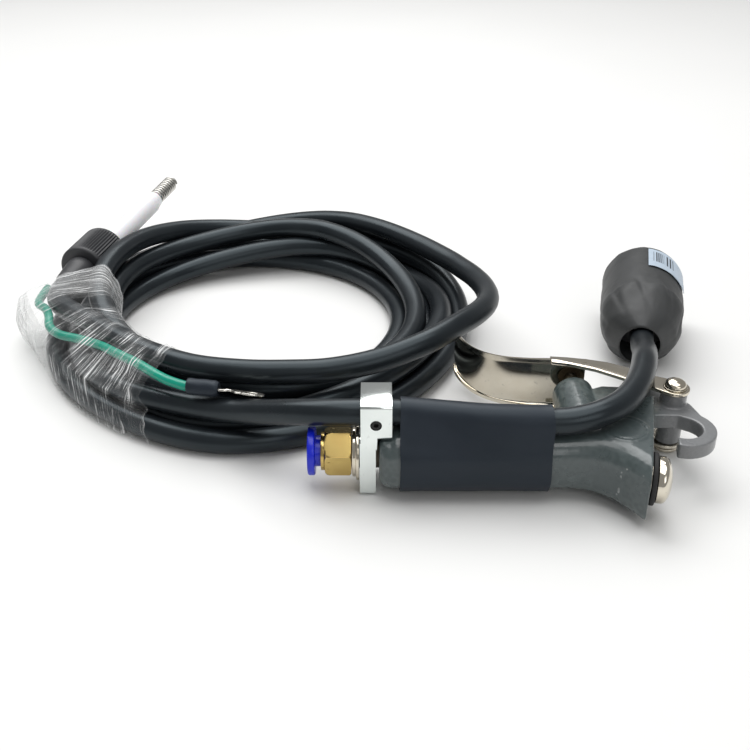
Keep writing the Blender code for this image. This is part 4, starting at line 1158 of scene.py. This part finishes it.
def sleeve():
    """Shrunk sleeve round the handle and the cable, with an outer and an inner skin."""
    route = [spot for spot in smooth_route(ROUTE_HELD, 1.6) if 8.4 < spot.x < 66.2]
    rows = {}
    for grow in (1.05, 0.3):
        rings = []
        for k, spot in enumerate(route):
            ring = sleeve_ring(spot.x, spot.y, spot.z, grow)
            middle = Vector((spot.x, -84.0, 19.0))
            end = min(k, len(route) - 1 - k)
            row = []
            for j, point in enumerate(ring):
                p = Vector(point)
                away = (p - middle)
                away.x = 0
                away.normalize()
                angle = TAU * j / len(ring)
                dent = 0.22 * wobble(p.x * 0.05, math.cos(angle) * 2.2, math.sin(angle) * 2.2)
                dent += 0.10 * wobble(p.x * 0.16, math.cos(angle) * 5.0, math.sin(angle) * 5.0)
                flare = (0.28 * math.exp(-end / 1.4)
                         * (0.6 + 0.5 * wobble(k * 1.0, math.cos(angle) * 3, math.sin(angle) * 3)))
                p += away * ((dent + flare) if grow > 1 else 0.0)
                sway = 0.55 * wobble(spot.x, math.cos(angle) * 1.3, math.sin(angle) * 1.3)
                p.x += sway * math.exp(-end / 2.5)
                row.append(p)
            rings.append(row)
        rows[grow] = rings
    bm = bmesh.new()
    outer = [[bm.verts.new(p) for p in ring] for ring in rows[1.05]]
    inner = [[bm.verts.new(p) for p in ring] for ring in rows[0.3]]
    skin(bm, outer)
    skin(bm, inner)
    for end in (0, -1):
        skin(bm, [outer[end], inner[end]])
    return mesh_of("shrink_grip", bm, SLEEVE, "gun", ("grip_sleeve",), "shrink_sleeve", sharp=50.0)


sleeve()


# ---- Plug on the short lead -----------------------------------------------------------

# The cover's key rings: how far along the plug their top and low sides are, top and low
# height, and half width. The outside runs to the far rim and the inside comes back.
COVER_OUTSIDE = [(-15.2, -1.0, 27.4, 0.5, 9.6), (-12.0, -0.4, 29.6, 0.4, 12.6),
                 (-7.0, 0.6, 32.6, 0.35, 16.1),
                 (-1.0, 2.2, 35.6, 0.3, 18.0), (4.0, 4.0, 38.2, 0.25, 19.0), (8.0, 8.0, 39.2, 0.15, 19.4),
                 (12.0, 12.0, 38.9, 0.3, 19.3), (30.0, 30.0, 38.9, 0.3, 19.3),
                 (48.6, 48.6, 38.9, 0.3, 19.3), (49.8, 49.8, 38.4, 0.8, 18.8)]
COVER_INSIDE = [(49.8, 49.8, 36.4, 2.8, 16.8), (48.0, 48.0, 35.9, 3.3, 16.3), (30.0, 30.0, 35.8, 3.4, 16.2),
                (11.0, 11.0, 35.8, 3.4, 16.2), (4.0, 4.0, 36.0, 2.8, 16.5), (-7.0, 0.6, 31.3, 1.6, 14.9),
                (-12.0, -0.4, 28.7, 1.5, 11.6), (-15.2, -1.0, 26.7, 1.5, 8.9)]


def between(keys, spacing):
    """Key rings joined by a smooth curve, with rings about the spacing apart."""
    keys = np.array(keys, float)
    padded = np.vstack([2 * keys[0] - keys[1], keys, 2 * keys[-1] - keys[-2]])
    rings = []
    for k in range(len(keys) - 1):
        a, b, c, d = padded[k:k + 4]
        steps = max(2, round(float(np.abs(c - b).max()) / spacing))
        for i in range(steps):
            t = i / steps
            curve = catmull(a, b, c, d, t)
            rings.append(0.5 * curve + 0.5 * (b + (c - b) * t))
    return rings + [keys[-1]]


def cover():
    """Shrunk cover on the plug: a slanted mouth round the cable, soft folds behind it."""
    side = Vector((PLUG_AXIS.y, -PLUG_AXIS.x, 0))
    bm = bmesh.new()
    rows = []
    for rings, inward in ((between(COVER_OUTSIDE, 0.8), False), (between(COVER_INSIDE, 2.2), True)):
        for top_along, low_along, top, low, half in rings:
            row = []
            for k in range(160):
                angle = TAU * k / 160
                c, s = math.cos(angle), math.sin(angle)
                along = low_along + (top_along - low_along) * (1 + s) / 2
                behind = max(0.0, 1 - abs(along - 6.0) / 14.0)
                dent = 0.0 if inward else (
                    1.1 * behind * max(0.0, math.sin(4 * angle + 0.10 * along + 0.6)) ** 2
                    + 0.7 * behind * max(0.0, math.sin(9 * angle - 0.16 * along)) ** 3
                    + 0.5 * abs(wobble(c * 1.6, s * 1.6, along * 0.06))
                    + 0.16 * abs(wobble(c * 5, s * 5, along * 0.25)))
                wide, high, middle = half - dent, (top - low) / 2 - dent, (top + low) / 2
                spot = PLUG_NEAR + PLUG_AXIS * along + side * (wide * c)
                spot.z = middle + high * s
                row.append(bm.verts.new(spot))
            rows.append(row)
    skin(bm, rows, True, True)
    bmesh.ops.recalc_face_normals(bm, faces=bm.faces)
    return mesh_of("plug_cover", bm, SHROUD, "gun", ("plug_shroud",), "shrink_sleeve", sharp=60.0)


shroud = cover()
# The insert is coloured black as painted shade, so the cover's open mouth reads as a dark interior.
turned("plug_insert", softened([(0, 11.5), (15.5, 11.5), (15.5, 46.0), (12.0, 46.0), (12.0, 44.2),
                                (7.0, 44.2),
                                       (7.0, 46.0), (0, 46.0)], 0.4),
              PLUG_NEAR, PLUG_AXIS, BLACK_PLASTIC_AND_SHADE, "gun", ("plug_core",), "white_plastic", 64)
turned("plug_pin", softened([(0, 46.2), (4.0, 46.2), (4.0, 53.0), (3.0, 54.0), (0, 54.0)], 0.4),
             PLUG_NEAR, PLUG_AXIS, STEEL, "gun", ("plug_contact",), "steel", 40)


def plug_label():
    """Thin label wrapped part of the way round the plug's cover."""
    side, _ = frame_of(PLUG_AXIS)
    bm = bmesh.new()
    layer = bm.loops.layers.uv.new("UVMap")
    grids, flat = [], {}
    for high in (0.42, 0.62):
        grid = []
        for i in range(33):
            angle = math.radians(20 + 68 * i / 32)
            spoke = side * math.cos(angle) + Vector((0, 0, 1)) * math.sin(angle)
            row = []
            for j in range(17):
                along = 26.0 + 20.0 * j / 16
                lift = high + 0.10 * wobble(i * 0.2, j * 0.25, 2.0)
                vert = bm.verts.new(PLUG_NEAR + PLUG_AXIS * along + spoke * (19.35 + lift))
                flat[vert] = (i / 32, j / 16)
                row.append(vert)
            grid.append(row)
        grids.append(grid)
        skin(bm, grid, close_ring=False)
    low, top = grids
    border = [(i, 0) for i in range(33)] + [(32, j) for j in range(1, 17)]
    border += [(i, 16) for i in range(31, -1, -1)] + [(0, j) for j in range(15, 0, -1)]
    for (i, j), (k, m) in zip(border, border[1:] + border[:1]):
        bm.faces.new((low[i][j], low[k][m], top[k][m], top[i][j]))
    for face in bm.faces:
        for loop in face.loops:
            loop[layer].uv = flat[loop.vert]
    return mesh_of("bar_label", bm, LABEL, "gun", ("plug_label",), "label")


plug_label()

# ---- Carried-over nodes ---------------------------------------------------------------

for node, look in (("valve_seal", RUBBER), ("valve_seat", BRASS), ("valve_spring", STEEL),
                   ("clamp_screw", RUBBER)):
    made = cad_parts[node]
    made.data.materials.clear()
    made.data.materials.append(look)

# ---- Table and light ------------------------------------------------------------------

bm = bmesh.new()
bmesh.ops.create_grid(bm, x_segments=8, y_segments=8, size=6.0)
table_mesh = bpy.data.meshes.new("table")
bm.to_mesh(table_mesh)
bm.free()
table_mesh.materials.append(table_top())
table = added("table", table_mesh)
table.location.z = -0.0002


def softbox(name, spot, aim, size, power, tint=(1.0, 1.0, 1.0)):
    data = bpy.data.lights.new(name, "AREA")
    data.shape = "RECTANGLE"
    data.size, data.size_y = size
    data.energy = power
    data.color = tint
    made = added(name, data)
    made.location = spot
    made.rotation_euler = (Vector(aim) - Vector(spot)).to_track_quat("-Z", "Y").to_euler()


softbox("key", (-0.35, 0.75, 1.15), (0.0, 0.0, 0.0), (1.5, 0.9), 16.5)
softbox("top", (0.1, -0.1, 1.5), (0.0, 0.0, 0.0), (1.2, 1.2), 11.0)
softbox("front", (0.5, -1.2, 0.8), (0.0, 0.0, 0.0), (0.9, 0.7), 3.2)

world = bpy.data.worlds.new("studio")
bpy.context.scene.world = world
world.use_nodes = True
sky = world.node_tree.nodes["Background"]
sky.inputs["Color"].default_value = (1.0, 1.0, 1.0, 1.0)
sky.inputs["Strength"].default_value = 0.30
bpy.context.scene.view_settings.view_transform = "Standard"
